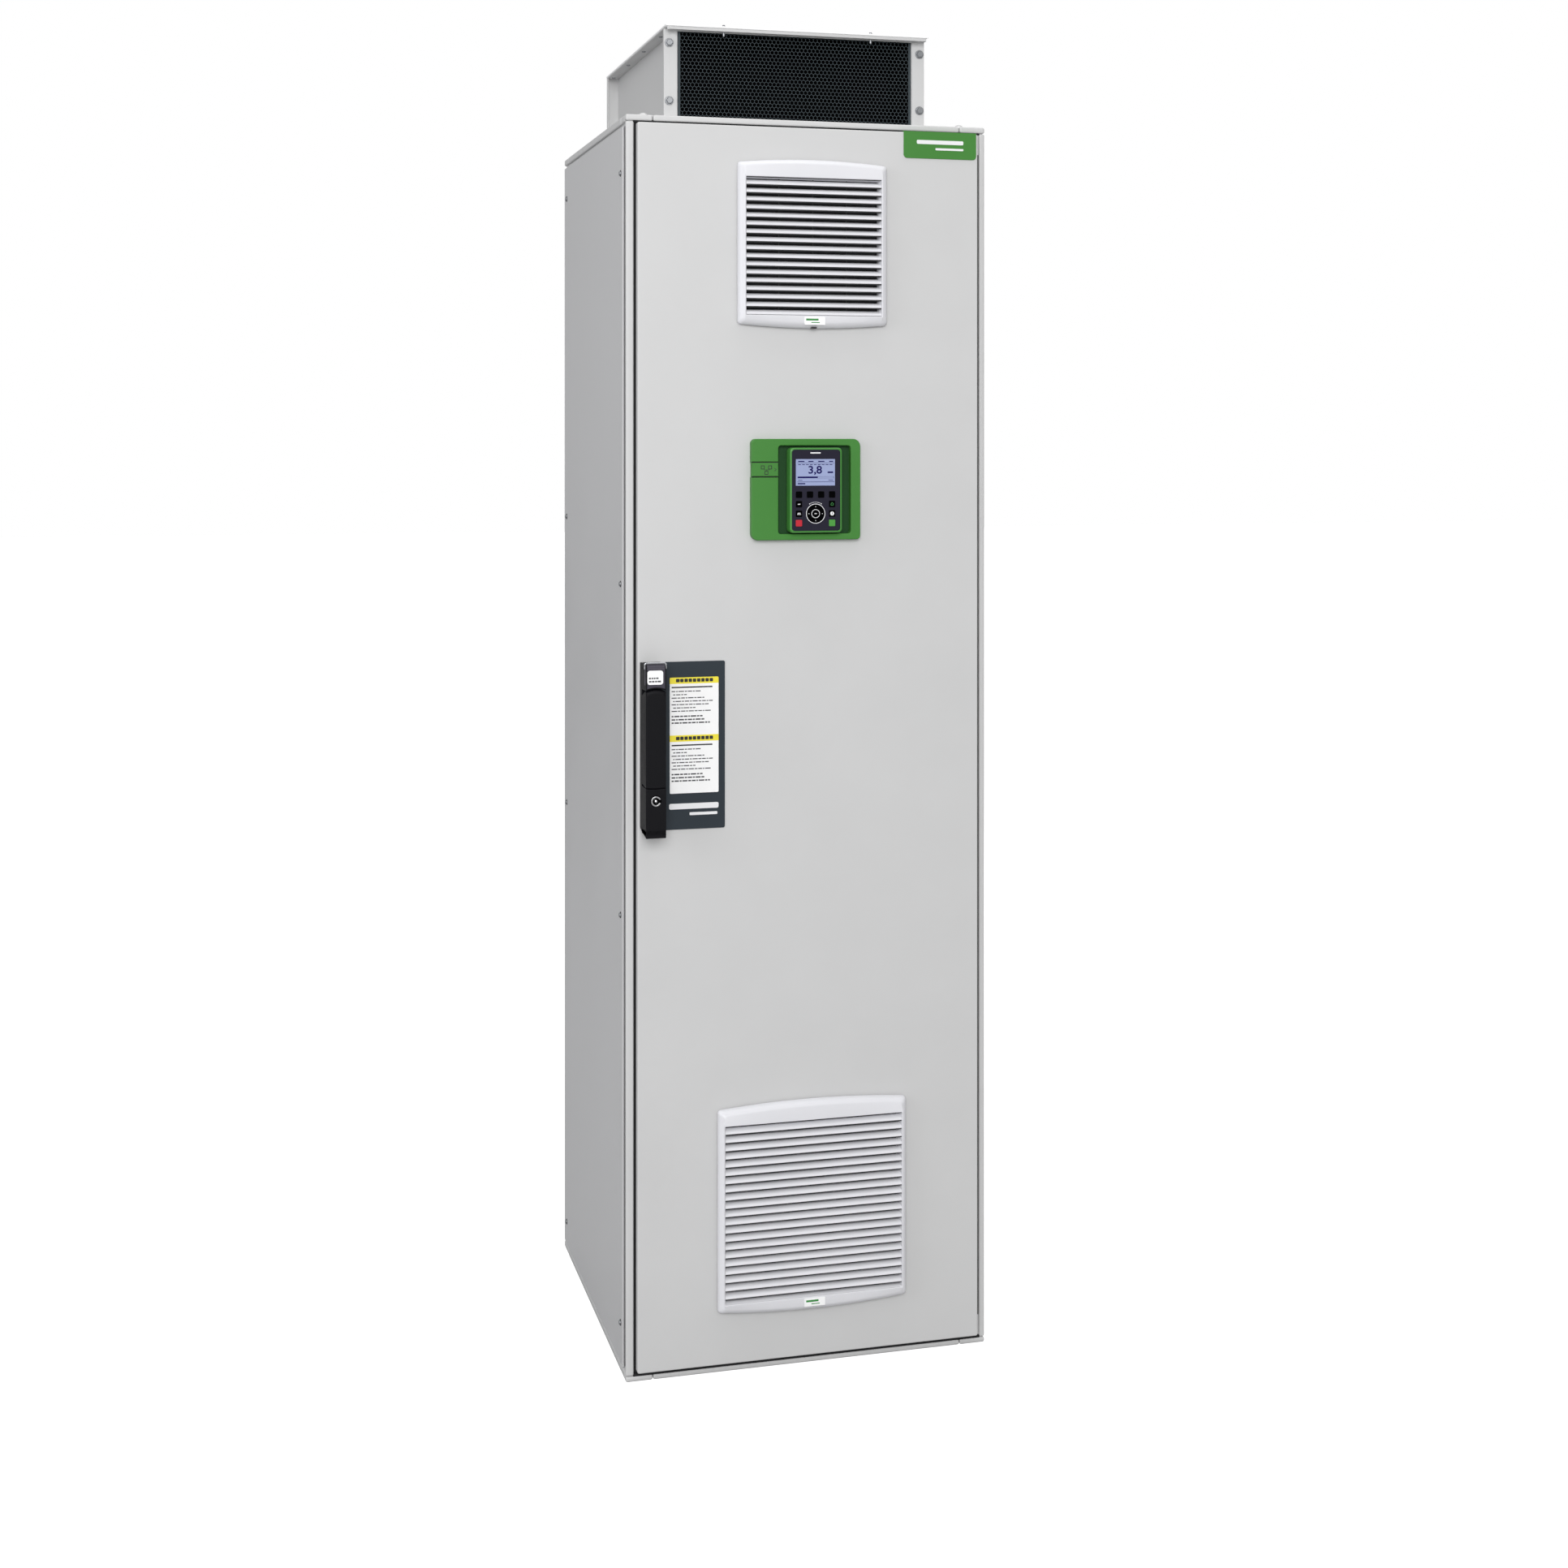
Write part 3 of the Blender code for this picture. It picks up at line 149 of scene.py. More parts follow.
MATERIALS = {
    "cabinet_paint": surface((203, 203, 203), 0.46, bump=0.10, mottle=0.012),
    "panel_paint": surface((203, 203, 204), 0.46, bump=0.10, mottle=0.012),
    # Lighter, faintly glowing copy of the cabinet paint: painted highlight for the hood roof's front edge.
    "roof_painted_highlight": surface((242, 242, 242), 0.40, bump=0.08, mottle=0.01, glow=0.12),
    "grille_plastic": surface((222, 222, 226), 0.38, grain=1500.0, bump=0.04),
    "green_plastic": surface((66, 130, 54), 0.46, grain=1800.0, bump=0.08, specular=0.3),
    # Darker copy of the bezel's green: painted shade for the floor of the terminal's recess.
    "green_painted_recess_shade": surface((30, 72, 34), 0.55, grain=1800.0, bump=0.08, specular=0.2),
    "terminal_green": surface((66, 134, 56), 0.38, grain=1800.0, bump=0.04, specular=0.4),
    "terminal_face": surface((30, 28, 44), 0.45, grain=2200.0, bump=0.05, specular=0.2),
    "black_plastic": surface((13, 13, 17), 0.50, grain=2400.0, bump=0.16, mottle=0.05,
                             specular=0.14),
    "insert_plastic": surface((60, 57, 68), 0.42, grain=2400.0, bump=0.10, specular=0.4),
    "key_black": surface((1, 1, 2), 0.40, grain=2600.0, bump=0.05, mottle=0.05, specular=0.03),
    "key_red": surface((190, 38, 52), 0.38, grain=2600.0, bump=0.05, specular=0.3),
    "key_green": surface((74, 150, 62), 0.38, grain=2600.0, bump=0.05, specular=0.3),
    "screen_glass": surface((146, 156, 192), 0.25, grain=60.0, bump=0.0, mottle=0.01,
                            glow=0.14, specular=0.3),
    "screen_ink": surface((30, 26, 88), 0.50, bump=0.0, specular=0.1),
    "white_print": surface((236, 236, 238), 0.50, bump=0.0),
    "paper_white": surface((250, 250, 250), 0.45, grain=700.0, bump=0.03, mottle=0.005),
    "paper_yellow": surface((240, 224, 60), 0.45, grain=700.0, bump=0.03),
    "print_grey": surface((74, 74, 76), 0.60, bump=0.0),
    # Dark grey: real print on the label card, and painted shade in the grilles' blade gaps and on the
    # uprights behind them.
    "dark_print_and_grille_shade": surface((36, 36, 38), 0.60, bump=0.0),
    "print_green": surface((60, 140, 70), 0.50, bump=0.0),
    "plate_slate": surface((44, 52, 59), 0.48, grain=1600.0, bump=0.06, specular=0.25),
    # Black rubber for gaskets, panel cups and cover seams; also painted shadow in the door channel, the
    # grille notch and the port gaps.
    "gasket_rubber": surface((22, 22, 24), 0.80, grain=1300.0, bump=0.30),
    "filter_fibre": surface((46, 46, 48), 0.95, grain=1100.0, bump=0.80, mottle=0.15),
    "mesh_steel": surface((62, 70, 74), 0.50, grain=1500.0, bump=0.10, specular=0.15),
    # Near black: the hood's inner lining, and painted shade in holes, vents and slots drawn as dark patches.
    "black_lining_and_hole_shade": surface((5, 5, 6), 0.95, grain=900.0, bump=0.50, specular=0.05),
    "zinc_steel": surface((150, 152, 155), 0.38, 0.85, grain=400.0, bump=0.05,
                          stretch=(1, 1, 0.1), mottle=0.06),
    "lock_metal": surface((214, 214, 216), 0.22, 1.0, grain=1200.0, bump=0.05),
    "bail_plastic": surface((176, 178, 182), 0.20, 0.3, coat=0.6, bump=0.02),
    "heatsink_alloy": surface((182, 184, 188), 0.38, 0.9, grain=700.0, bump=0.08,
                              stretch=(1, 1, 0.05), mottle=0.04),
    "case_steel": surface((72, 74, 78), 0.48, 0.1, grain=900.0, bump=0.12),
    "capacitor_sleeve": surface((44, 50, 70), 0.30, coat=0.4, bump=0.03),
    "core_steel": surface((92, 82, 74), 0.50, 0.4, grain=500.0, bump=0.35,
                          stretch=(1, 6, 1), mottle=0.10),
    "fan_plastic": surface((26, 26, 28), 0.46, grain=2000.0, bump=0.10),
    "duct_grey": surface((120, 124, 128), 0.45, grain=1500.0, bump=0.06),
    "device_grey": surface((196, 198, 198), 0.42, grain=1500.0, bump=0.05),
    "cable_black": surface((24, 24, 26), 0.55, grain=1800.0, bump=0.15),
    "terminal_resin": surface((66, 70, 66), 0.50, grain=1800.0, bump=0.10),
}
for finish_name, finish_made in MATERIALS.items():
    finish_made.name = finish_name


# ---- shape helpers ------------------------------------------------------------------------------
PLANES = {
    "XY": Matrix.Identity(4),
    "XZ": Matrix.Rotation(math.pi / 2, 4, "X"),
    "YZ": Matrix(((0, 0, 1), (1, 0, 0), (0, 1, 0))).to_4x4(),
}
THICKNESS = {"XY": 2, "XZ": 1, "YZ": 0}
TURNS = {
    "X": Matrix.Rotation(math.pi / 2, 4, "Y"),
    "-Y": Matrix.Rotation(math.pi / 2, 4, "X"),
    "Z": Matrix.Identity(4),
    "-Z": Matrix.Rotation(math.pi, 4, "X"),
    "-X": Matrix.Rotation(-math.pi / 2, 4, "Y"),
    "Y": Matrix.Rotation(-math.pi / 2, 4, "X"),
}


def cube(size):
    """A box of this size round the origin."""
    shape = bmesh.new()
    bmesh.ops.create_cube(shape, size=1.0)
    bmesh.ops.scale(shape, vec=size, verts=shape.verts)
    return shape


class Piece:
    """One piece of one material: closed shapes are added to it, and done() puts it in the scene."""

    def __init__(self, name, finish, body="root"):
        self.name = name
        self.finish = finish
        self.body = body
        self.shape = bmesh.new()

    def take(self, shape):
        """Move another mesh's faces into this piece."""
        mesh = bpy.data.meshes.new("step")
        shape.to_mesh(mesh)
        shape.free()
        self.shape.from_mesh(mesh)
        bpy.data.meshes.remove(mesh)
        return self

    def box(self, x, y, z, bevel=0.0008, segments=3):
        """A box with rounded edges, between two values along each axis, given in either order."""
        low = Vector([min(pair) for pair in (x, y, z)])
        high = Vector([max(pair) for pair in (x, y, z)])
        shape = cube(high - low)
        width = min(bevel, min(high - low) * 0.45)
        if width > 0:
            bmesh.ops.bevel(shape, geom=shape.edges[:], offset=width, segments=segments, profile=0.5,
                            affect="EDGES")
        bmesh.ops.translate(shape, vec=(low + high) / 2, verts=shape.verts)
        return self.take(shape)

    def plate(self, loops, plane, low, high, bevel=0.0004, rounds=2):
        """A flat outline, further loops being holes, with rounded edges all round."""
        data = bpy.data.curves.new("outline", "CURVE")
        data.dimensions = "2D"
        data.fill_mode = "BOTH"
        data.bevel_depth = bevel
        data.bevel_resolution = rounds
        data.offset = -bevel
        data.extrude = (high - low) / 2 - bevel
        for points in loops:
            spline = data.splines.new("POLY")
            spline.points.add(len(points) - 1)
            for target, point in zip(spline.points, points):
                target.co = (point[0], point[1], 0.0, 1.0)
            spline.use_cyclic_u = True
        curve = bpy.data.objects.new("outline", data)
        bpy.context.scene.collection.objects.link(curve)
        evaluated = curve.evaluated_get(bpy.context.evaluated_depsgraph_get())
        mesh = bpy.data.meshes.new_from_object(evaluated)
        bpy.data.objects.remove(curve)
        shape = bmesh.new()
        shape.from_mesh(mesh)
        bpy.data.meshes.remove(mesh)
        bmesh.ops.remove_doubles(shape, verts=shape.verts, dist=1e-6)
        bmesh.ops.recalc_face_normals(shape, faces=shape.faces)
        offset = Vector((0.0, 0.0, 0.0))
        offset[THICKNESS[plane]] = (low + high) / 2
        bmesh.ops.transform(
            shape, matrix=Matrix.Translation(offset) @ PLANES[plane], verts=shape.verts
        )
        return self.take(shape)

    def mark(self, loops, face, proud, sunk, bevel):
        """A thin print that stands proud of a face looking forward and is sunk a little into it."""
        return self.plate(loops, "XZ", face - proud, face + sunk, bevel, 1)

    def loft(self, rings, closed=False):
        """Quads between rings of points; closed joins the last ring to the first, or else both are capped."""
        shape = bmesh.new()
        rows = [[shape.verts.new(point) for point in ring] for ring in rings]
        count = len(rows[0])
        pairs = list(zip(rows, rows[1:]))
        if closed:
            pairs.append((rows[-1], rows[0]))
        for near, far in pairs:
            for index in range(count):
                after = (index + 1) % count
                shape.faces.new((near[index], near[after], far[after], far[index]))
        if not closed:
            shape.faces.new(rows[0])
            shape.faces.new(rows[-1])
        bmesh.ops.recalc_face_normals(shape, faces=shape.faces)
        return self.take(shape)

    def turned(self, profile, centre, axis, steps=32):
        """A solid of revolution: (radius, height) points from the axis out and back to it."""
        rings = []
        for radius, height in profile:
            radius = max(radius, 1e-5)
            ring = []
            for step in range(steps):
                angle = 2 * math.pi * step / steps
                ring.append(Vector((radius * math.cos(angle), radius * math.sin(angle), height)))
            rings.append(ring)
        place = Matrix.Translation(centre) @ TURNS[axis]
        return self.loft([[place @ point for point in ring] for ring in rings])

    def tube(self, points, radius, sides=12):
        """A round bar along a list of points."""
        points = [Vector(point) for point in points]
        rings = []
        for index, point in enumerate(points):
            before = points[max(index - 1, 0)]
            after = points[min(index + 1, len(points) - 1)]
            direction = (after - before).normalized()
            turn = direction.to_track_quat("Z", "Y").to_matrix()
            ring = []
            for side in range(sides):
                angle = 2 * math.pi * side / sides
                ring.append(point + turn @ Vector((math.cos(angle), math.sin(angle), 0)) * radius)
            rings.append(ring)
        return self.loft(rings)

    def carve(self, low, high):
        """Cut a box out of the shape added so far."""
        mesh = bpy.data.meshes.new("whole")
        self.shape.to_mesh(mesh)
        self.shape.free()
        whole = bpy.data.objects.new("whole", mesh)
        box = cube(Vector(high) - Vector(low))
        bmesh.ops.translate(box, vec=(Vector(high) + Vector(low)) / 2, verts=box.verts)
        tool_mesh = bpy.data.meshes.new("tool")
        box.to_mesh(tool_mesh)
        box.free()
        tool = bpy.data.objects.new("tool", tool_mesh)
        for temporary in (whole, tool):
            bpy.context.scene.collection.objects.link(temporary)
        cut = whole.modifiers.new("cut", "BOOLEAN")
        cut.object = tool
        cut.solver = "EXACT"
        evaluated = whole.evaluated_get(bpy.context.evaluated_depsgraph_get())
        result = bpy.data.meshes.new_from_object(evaluated)
        self.shape = bmesh.new()
        self.shape.from_mesh(result)
        bpy.data.meshes.remove(result)
        for temporary in (whole, tool):
            bpy.data.objects.remove(temporary)
        return self

    def done(self, *replaced, sharp=38):
        mesh = bpy.data.meshes.new(self.name)
        self.shape.to_mesh(mesh)
        self.shape.free()
        mesh.materials.append(MATERIALS[self.finish])
        mesh.shade_smooth()
        mesh.set_sharp_from_angle(angle=math.radians(sharp))
        made = bpy.data.objects.new(self.name, mesh)
        bpy.context.scene.collection.objects.link(made)
        weigh = made.modifiers.new("face_weighted_normals", "WEIGHTED_NORMAL")
        weigh.keep_sharp = True
        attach(made, self.body)
        if replaced:
            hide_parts(*replaced)
        return made


def about(middle, reach):
    """The two values that lie the same way to either side of a middle."""
    return (middle - reach, middle + reach)


def rectangle(left, right, low, high):
    return [(left, low), (right, low), (right, high), (left, high)]


def rounded(left, right, low, high, radius, steps=5):
    """A rectangle with round corners; radius may be one value or four, from bottom left anticlockwise."""
    radii = radius if isinstance(radius, tuple) else (radius,) * 4
    corners = ((left, low, 180), (right, low, 270), (right, high, 0), (left, high, 90))
    points = []
    for (x, y, start), size in zip(corners, radii):
        size = max(size, 1e-5)
        inner_x = x + size if x == left else x - size
        inner_y = y + size if y == low else y - size
        points += arc((inner_x, inner_y), size, start, start + 90, steps)
    return points


def arc(centre, radius, start, end, steps):
    return [polar(centre, radius, start + (end - start) * step / steps) for step in range(steps + 1)]


def polar(centre, radius, degrees):
    angle = math.radians(degrees)
    return (centre[0] + radius * math.cos(angle), centre[1] + radius * math.sin(angle))


def circle(centre, radius, steps=32):
    return arc(centre, radius, 0, 360 - 360 / steps, steps - 1)


PALE_PRINT = (0.00015, 0.0002, 0.00005)     # proud, sunk and edge radius of the pale bars on the door


def prints(name, finish, body, face, shapes, proud=0.0001, sunk=0.0002, bevel=0.00003):
    """One piece of thin marks on a face that looks forward; each shape is an outline and its holes."""
    piece = Piece(name, finish, body)
    for loops in shapes:
        piece.mark(loops, face, proud, sunk, bevel)
    piece.done()


# ---- fasteners ------------------------------------------------------------------------------------
def pan_screw(name, place, axis, radius=0.0040, finish="zinc_steel", body="root"):
    """A domed screw head with a round recess."""
    piece = Piece(name, finish, body)
    height = radius * 0.55
    profile = [
        (0, 0), (radius, 0), (radius, height * 0.35), (radius * 0.86, height * 0.78),
        (radius * 0.55, height), (radius * 0.30, height),
        (radius * 0.26, height * 0.35), (0, height * 0.35),
    ]
    return piece.turned(profile, place, axis, 24).done()


def hex_bolt(name, place, axis, across=0.0100, washer=0.0072, body="root"):
    """A hexagon head with a chamfered top, on a plain washer."""
    piece = Piece(name, "zinc_steel", body)
    piece.turned(
        [(0, 0), (washer, 0), (washer, 0.0011), (washer - 0.0003, 0.0014), (0, 0.0014)], place, axis
    )
    radius = across / 2 / math.cos(math.pi / 6)
    head = [
        (0, 0.0012), (radius, 0.0012), (radius, 0.0050), (radius * 0.84, 0.0058), (0, 0.0058),
    ]
    return piece.turned(head, place, axis, 6).done(sharp=25)


# ---- cabinet --------------------------------------------------------------------------------------
LIP = 0.0130                    # width of the lip on the front of the left upright
LIP_HINGE = 0.0096              # and of the right one, beside the hinges
BAR = 0.0115                    # height of the bars that frame the top and the bottom
FRONT_BAR = {"bottom": 0.0085, "top": 0.0100}   # the same at the front, clear of the door
BAR_DEEP = 0.0125
INSET = 0.0040                  # bodies of the frame behind its outer faces
LEVELS = (("bottom", 0.0, 1), ("top", TOP, -1))
SIDES = ((-1, "left"), (1, "right"))
SEAL_DEEP = 0.0140              # face the gasket closes on, behind the frame's front
CASTING = 0.0433                # side of a corner casting
CASTING_HIGH = 0.045
SEAM = 0.0007
SIDE_PANEL_LOW, SIDE_PANEL_HIGH = box_of("side_panel_left")


def corner_castings():
    """Eight corner pieces: a bar across the corner at the front and the rear, with a solid body behind."""
    for level, base, way in LEVELS:
        bar = (base, base + way * BAR)
        full = (base, base + way * CASTING_HIGH)
        edge = (base, base + way * FRONT_BAR[level])
        for side, name in SIDES:
            outer = side * HALF
            across = (outer, outer - side * CASTING)
            body = (outer - side * INSET, outer - side * CASTING)
            post = (outer - side * INSET, outer - side * (LIP - 0.0010))
            deep = FRONT + CASTING
            front = Piece(f"{level}_{name}_front_casting", "cabinet_paint")
            front.box(across, (FRONT + BAR_DEEP - 0.002, deep), bar, 0.0030, 4)
            front.box(across, (FRONT, FRONT + BAR_DEEP), edge, 0.0030, 4)
            front.box(body, (FRONT + SEAL_DEEP, deep), full, 0.0006)
            front.box(post, (FRONT + 0.004, deep), full, 0.0006)
            front.done()
            rear = Piece(f"{level}_{name}_rear_casting", "cabinet_paint")
            rear.box(across, (REAR - CASTING, REAR), bar, 0.0030, 4)
            rear.box(body, (REAR - CASTING, REAR - INSET), full, 0.0006)
            rear.done()


def rails():
    """Front, side and rear rails of the bottom and top frames, between the castings."""
    reach = about(0, HALF - CASTING - SEAM)
    along = (FRONT + CASTING + SEAM, REAR - CASTING - SEAM)
    for level, base, way in LEVELS:
        piece = Piece(f"{level}_rails", "cabinet_paint")
        bar = (base, base + way * BAR)
        full = (base, base + way * CASTING_HIGH)
        edge = (base, base + way * FRONT_BAR[level])
        piece.box(reach, (FRONT, FRONT + BAR_DEEP), edge, 0.0030, 4)
        piece.box(reach, (FRONT + BAR_DEEP - 0.002, FRONT + CASTING), bar, 0.0010)
        piece.box(reach, (FRONT + SEAL_DEEP, FRONT + 0.040), full, 0.0006)
        piece.box(reach, (REAR - CASTING, REAR), bar, 0.0024, 4)
        piece.box(reach, (REAR - CASTING, REAR - INSET), full, 0.0006)
        for side in (-1, 1):
            piece.box((side * HALF, side * (HALF - CASTING)), along, bar, 0.0024, 4)
            piece.box((side * (HALF - INSET), side * (HALF - CASTING)), along, full, 0.0006)
        piece.done(f"{level}_frame")


def uprights():
    """Front lips with a deep drip channel behind them, and plain rear posts."""
    tall = (FRONT_BAR["bottom"] + SEAM, TOP - FRONT_BAR["top"] - SEAM)
    for side, name in SIDES:
        outer = side * HALF
        back = outer - side * 0.0036
        lip, seal = (LIP, 0.026) if side < 0 else (LIP_HINGE, 0.042)
        piece = Piece(f"{name}_front_upright", "cabinet_paint")
        piece.box((outer, outer - side * lip), (FRONT + 0.0002, FRONT + 0.0075), tall, 0.0030, 4)
        wall = (back, outer - side * (lip - 0.0005))
        piece.box(wall, (FRONT + 0.004, FRONT + SEAL_DEEP + 0.002), tall, 0.0004)
        piece.box((back, outer - side * seal), (FRONT + SEAL_DEEP, FRONT + 0.0332), tall, 0.0006)
        piece.box((back, outer - side * 0.042), (FRONT + 0.0330, FRONT + 0.044), tall, 0.0006)
        piece.done(f"upright_front_{name}")
        rear = Piece(f"{name}_rear_upright", "cabinet_paint")
        rear.box((back, side * (HALF - 0.045)), (REAR - 0.0435, REAR - 0.0036), tall, 0.0010)
        rear.done(f"upright_rear_{name}")
        # The post's holes are near-black patches: painted shade, not openings.
        holes = Piece(f"{name}_rear_post_holes", "black_lining_and_hole_shade")
        for step in range(24):
            z = 0.110 + 0.078 * step
            holes.box(about(side * 0.2700, 0.0045), (REAR - 0.0438, REAR - 0.0430), (z, z + 0.014), 0.0003)
        holes.done()


def door_channel_shadows():
    """Dark strips at the bottom of the channel round the door and beside the front lips: painted shadow in
    the gaps.
    """
    seal = Piece("door_channel_painted_shadow", "gasket_rubber")
    left = -HALF + LIP - 0.001
    right = HALF - LIP_HINGE + 0.001
    low = BAR - 0.001
    high = TOP - BAR + 0.001
    width = 0.013
    outer = rectangle(left, right, low, high)
    inner = rectangle(left + width, right - width, low + width, high - width)
    seal.plate([outer, inner], "XZ", FRONT + 0.0045, FRONT + 0.0125, 0.0006, 1)
    for side in (-1, 1):
        strip = (side * (HALF - 0.0034), side * (HALF - 0.0060))
        seal.box(strip, (FRONT + 0.0085, FRONT + 0.027), (BAR + 0.004, TOP - BAR - 0.004), 0.0005)
    # Bars under and over the door: painted shadow in the gaps to the rails.
    deep = (FRONT + 0.0012, FRONT + 0.0120)
    seal.box((left, right), deep, (FRONT_BAR["bottom"] - 0.0005, BAR + 0.0011), 0.0004)
    seal.box((left, right), deep, (TOP - BAR - 0.0011, TOP - FRONT_BAR["top"] + 0.0005), 0.0004)
    seal.done()


def side_panels():
    """Flat skins with folded round edges; cap screws hold them front and rear."""
    low, high = SIDE_PANEL_LOW, SIDE_PANEL_HIGH
    rows = (("front", 0.0160, (0.078, 0.728, 1.256, 1.911)), ("rear", 0.545, (0.054, 0.822, 1.345, 1.926)))
    cup = [(0, -0.0005), (0.0052, -0.0005), (0.0052, 0.0003), (0.0046, 0.0007), (0, 0.0007)]
    for side, name in SIDES:
        outer = side * HALF
        axis = "-X" if side < 0 else "X"
        skin = Piece(f"{name}_side_skin", "panel_paint")
        skin.box((outer, outer - side * 0.0030), (low.y, high.y), (low.z, high.z), 0.0014, 4)
        skin.done(f"side_panel_{name}")
        for end, row, heights in rows:
            for index, z in enumerate(heights):
                tag = f"{end}_{index}"
                seat = Piece(f"{name}_panel_cup_{tag}", "gasket_rubber")
                seat.turned(cup, (outer, low.y + row, z), axis, 24).done()
                pan_screw(f"{name}_panel_screw_{tag}", (outer + side * 0.0006, low.y + row, z), axis)


def rear_panel():
    """Flat rear skin with five screws down each side."""
    low, high = box_of("rear_panel")
    piece = Piece("rear_skin", "panel_paint")
    piece.box((low.x, high.x), (low.y + 0.0004, high.y), (low.z, high.z), 0.0014, 4).done("rear_panel")
    for side, name in SIDES:
        for index in range(5):
            place = (side * 0.286, high.y - 0.0001, 0.080 + 0.459 * index)
            pan_screw(f"rear_screw_{name[0]}_{index}", place, "Y", 0.0042)


def roof():
    """Roof sheet with the opening under the hood and four plugs over the frame's corners."""
    low, high = box_of("roof_panel")
    hole = rounded(*about(0, 0.180), HOOD_LOW.y + 0.030, HOOD_HIGH.y - 0.050, 0.004)
    sheet = Piece("roof_skin", "cabinet_paint")
    sheet.plate([rounded(low.x, high.x, low.y, high.y, 0.004), hole], "XY", low.z, high.z, 0.0005)
    sheet.done("roof_panel")
    collar = [(0, -0.0014), (0.0088, -0.0014), (0.0088, 0.0010), (0.0080, 0.0016), (0, 0.0016)]
    dome = [
        (0, 0.0012), (0.0066, 0.0012), (0.0062, 0.0030), (0.0046, 0.0046), (0.0022, 0.0054), (0, 0.0055)
    ]
    for side, name in SIDES:
        for y, where in ((FRONT + 0.032, "front"), (REAR - 0.032, "rear")):
            plug = Piece(f"roof_plug_{where}_{name[0]}", "cabinet_paint")
            place = (side * 0.266, y, TOP + 0.0016)
            plug.turned(collar, place, "Z", 40).turned(dome, place, "Z", 32).done()


# ---- ventilation hood ----------------------------------------------------------------------------
FLANGE = 0.021
FOLD = 0.0018                   # sheet thickness of the hood


def hood_shell():
    """Folded sheet: inset side walls with outward flanges at the front, the rear and the top."""
    low, high = HOOD_LOW, HOOD_HIGH
    wall = high.x - FLANGE
    deep = (low.y, high.y)
    tall = (low.z, high.z)
    piece = Piece("hood_body", "cabinet_paint")
    for side in (-1, 1):
        inner = side * wall - side * FOLD
        flange = (side * high.x, inner)
        hem = (side * high.x, side * high.x - side * FOLD)
        piece.box((side * wall, inner), deep, tall)
        piece.box(flange, (low.y, low.y + FOLD), tall)
        piece.box(flange, (high.y - FOLD, high.y), tall)
        piece.box(flange, deep, (high.z - FOLD, high.z))
        piece.box(hem, (low.y + 0.0004, low.y + 0.009), (low.z + 0.001, high.z), 0.0007)
        piece.box(hem, (high.y - 0.009, high.y - 0.0004), (low.z + 0.001, high.z), 0.0007)
    piece.box(about(0, wall), (high.y - FOLD, high.y), tall)
    brim = (low.y - 0.0002, low.y + 0.0010)
    piece.box(about(0, wall), brim, (low.z, low.z + 0.0060), 0.0004)
    piece.box(about(0, wall), brim, (high.z - 0.0050, high.z), 0.0004)
    piece.done("hood_shell")
    inside = wall - FOLD - 0.0006
    run = (low.y + 0.005, low.y + 0.125)
    lining = Piece("hood_inner_lining", "black_lining_and_hole_shade")
    lining.box(about(0, inside), (low.y + 0.125, low.y + 0.129), (low.z + 0.0005, high.z - 0.002), 0.0)
    lining.box(about(0, inside), run, (high.z - 0.0045, high.z - 0.002), 0.0)
    lining.box(about(0, inside), (low.y + 0.005, low.y + 0.028), (low.z + 0.0003, low.z + 0.0015), 0.0)
    for side in (-1, 1):
        lining.box((side * inside, side * (inside - 0.0015)), run, (low.z + 0.0005, high.z - 0.002), 0.0)
    lining.done()


def hood_roof():
    """Roof sheet with a folded drip lip in front, and its screws."""
    low, high = ROOF_LOW, ROOF_HIGH
    # The roof sheet takes the lighter glowing white, a painted highlight along its front edge.
    sheet = Piece("hood_roof_sheet", "roof_painted_highlight")
    sheet.box(
        (low.x, high.x), (low.y - 0.0012, high.y), (high.z - 0.0030, high.z), 0.0010
    ).done("hood_roof")
    fold = Piece("hood_roof_fold", "cabinet_paint")
    lip = low.y + 0.0014
    fold.box((low.x + 0.0030, high.x - 0.0030), (lip, low.y + 0.0032), (low.z, high.z - 0.0029), 0.0006)
    fold.box((low.x + 0.0040, high.x - 0.0040), (lip, low.y + 0.0070), (low.z, low.z + 0.0014), 0.0006)
    fold.done()
    nut = [(0, 0.0020), (0.0040, 0.0020), (0.0040, 0.0040), (0.0022, 0.0050), (0.0020, 0.0062), (0, 0.0066)]
    shank = [(0, 0), (0.0019, 0), (0.0019, 0.0110), (0.0010, 0.0130), (0, 0.0132)]
    for side, name in SIDES:
        tag = name[0]
        place = (side * 0.125, low.y + 0.0085, high.z - 0.0026)
        stud = Piece(f"hood_roof_stud_{tag}", "zinc_steel")
        stud.turned(nut, place, "Z", 20).turned(shank, place, "-Z", 16).done()
        for index, y in enumerate((-0.117, 0.026, 0.166, 0.308)):
            spot = (side * (HOOD_HIGH.x - 0.0095), y, HOOD_HIGH.z - FOLD)
            pan_screw(f"hood_flange_screw_{tag}_{index}", spot, "-Z", 0.0034)
        for index, z in enumerate((2.036, 2.130)):
            hex_bolt(f"hood_front_bolt_{tag}_{index}", (side * 0.2135, HOOD_LOW.y, z), "-Y")
            pan_screw(
                f"hood_rear_screw_{tag}_{index}", (side * 0.2125, HOOD_HIGH.y, z + 0.004), "Y", 0.0036
            )


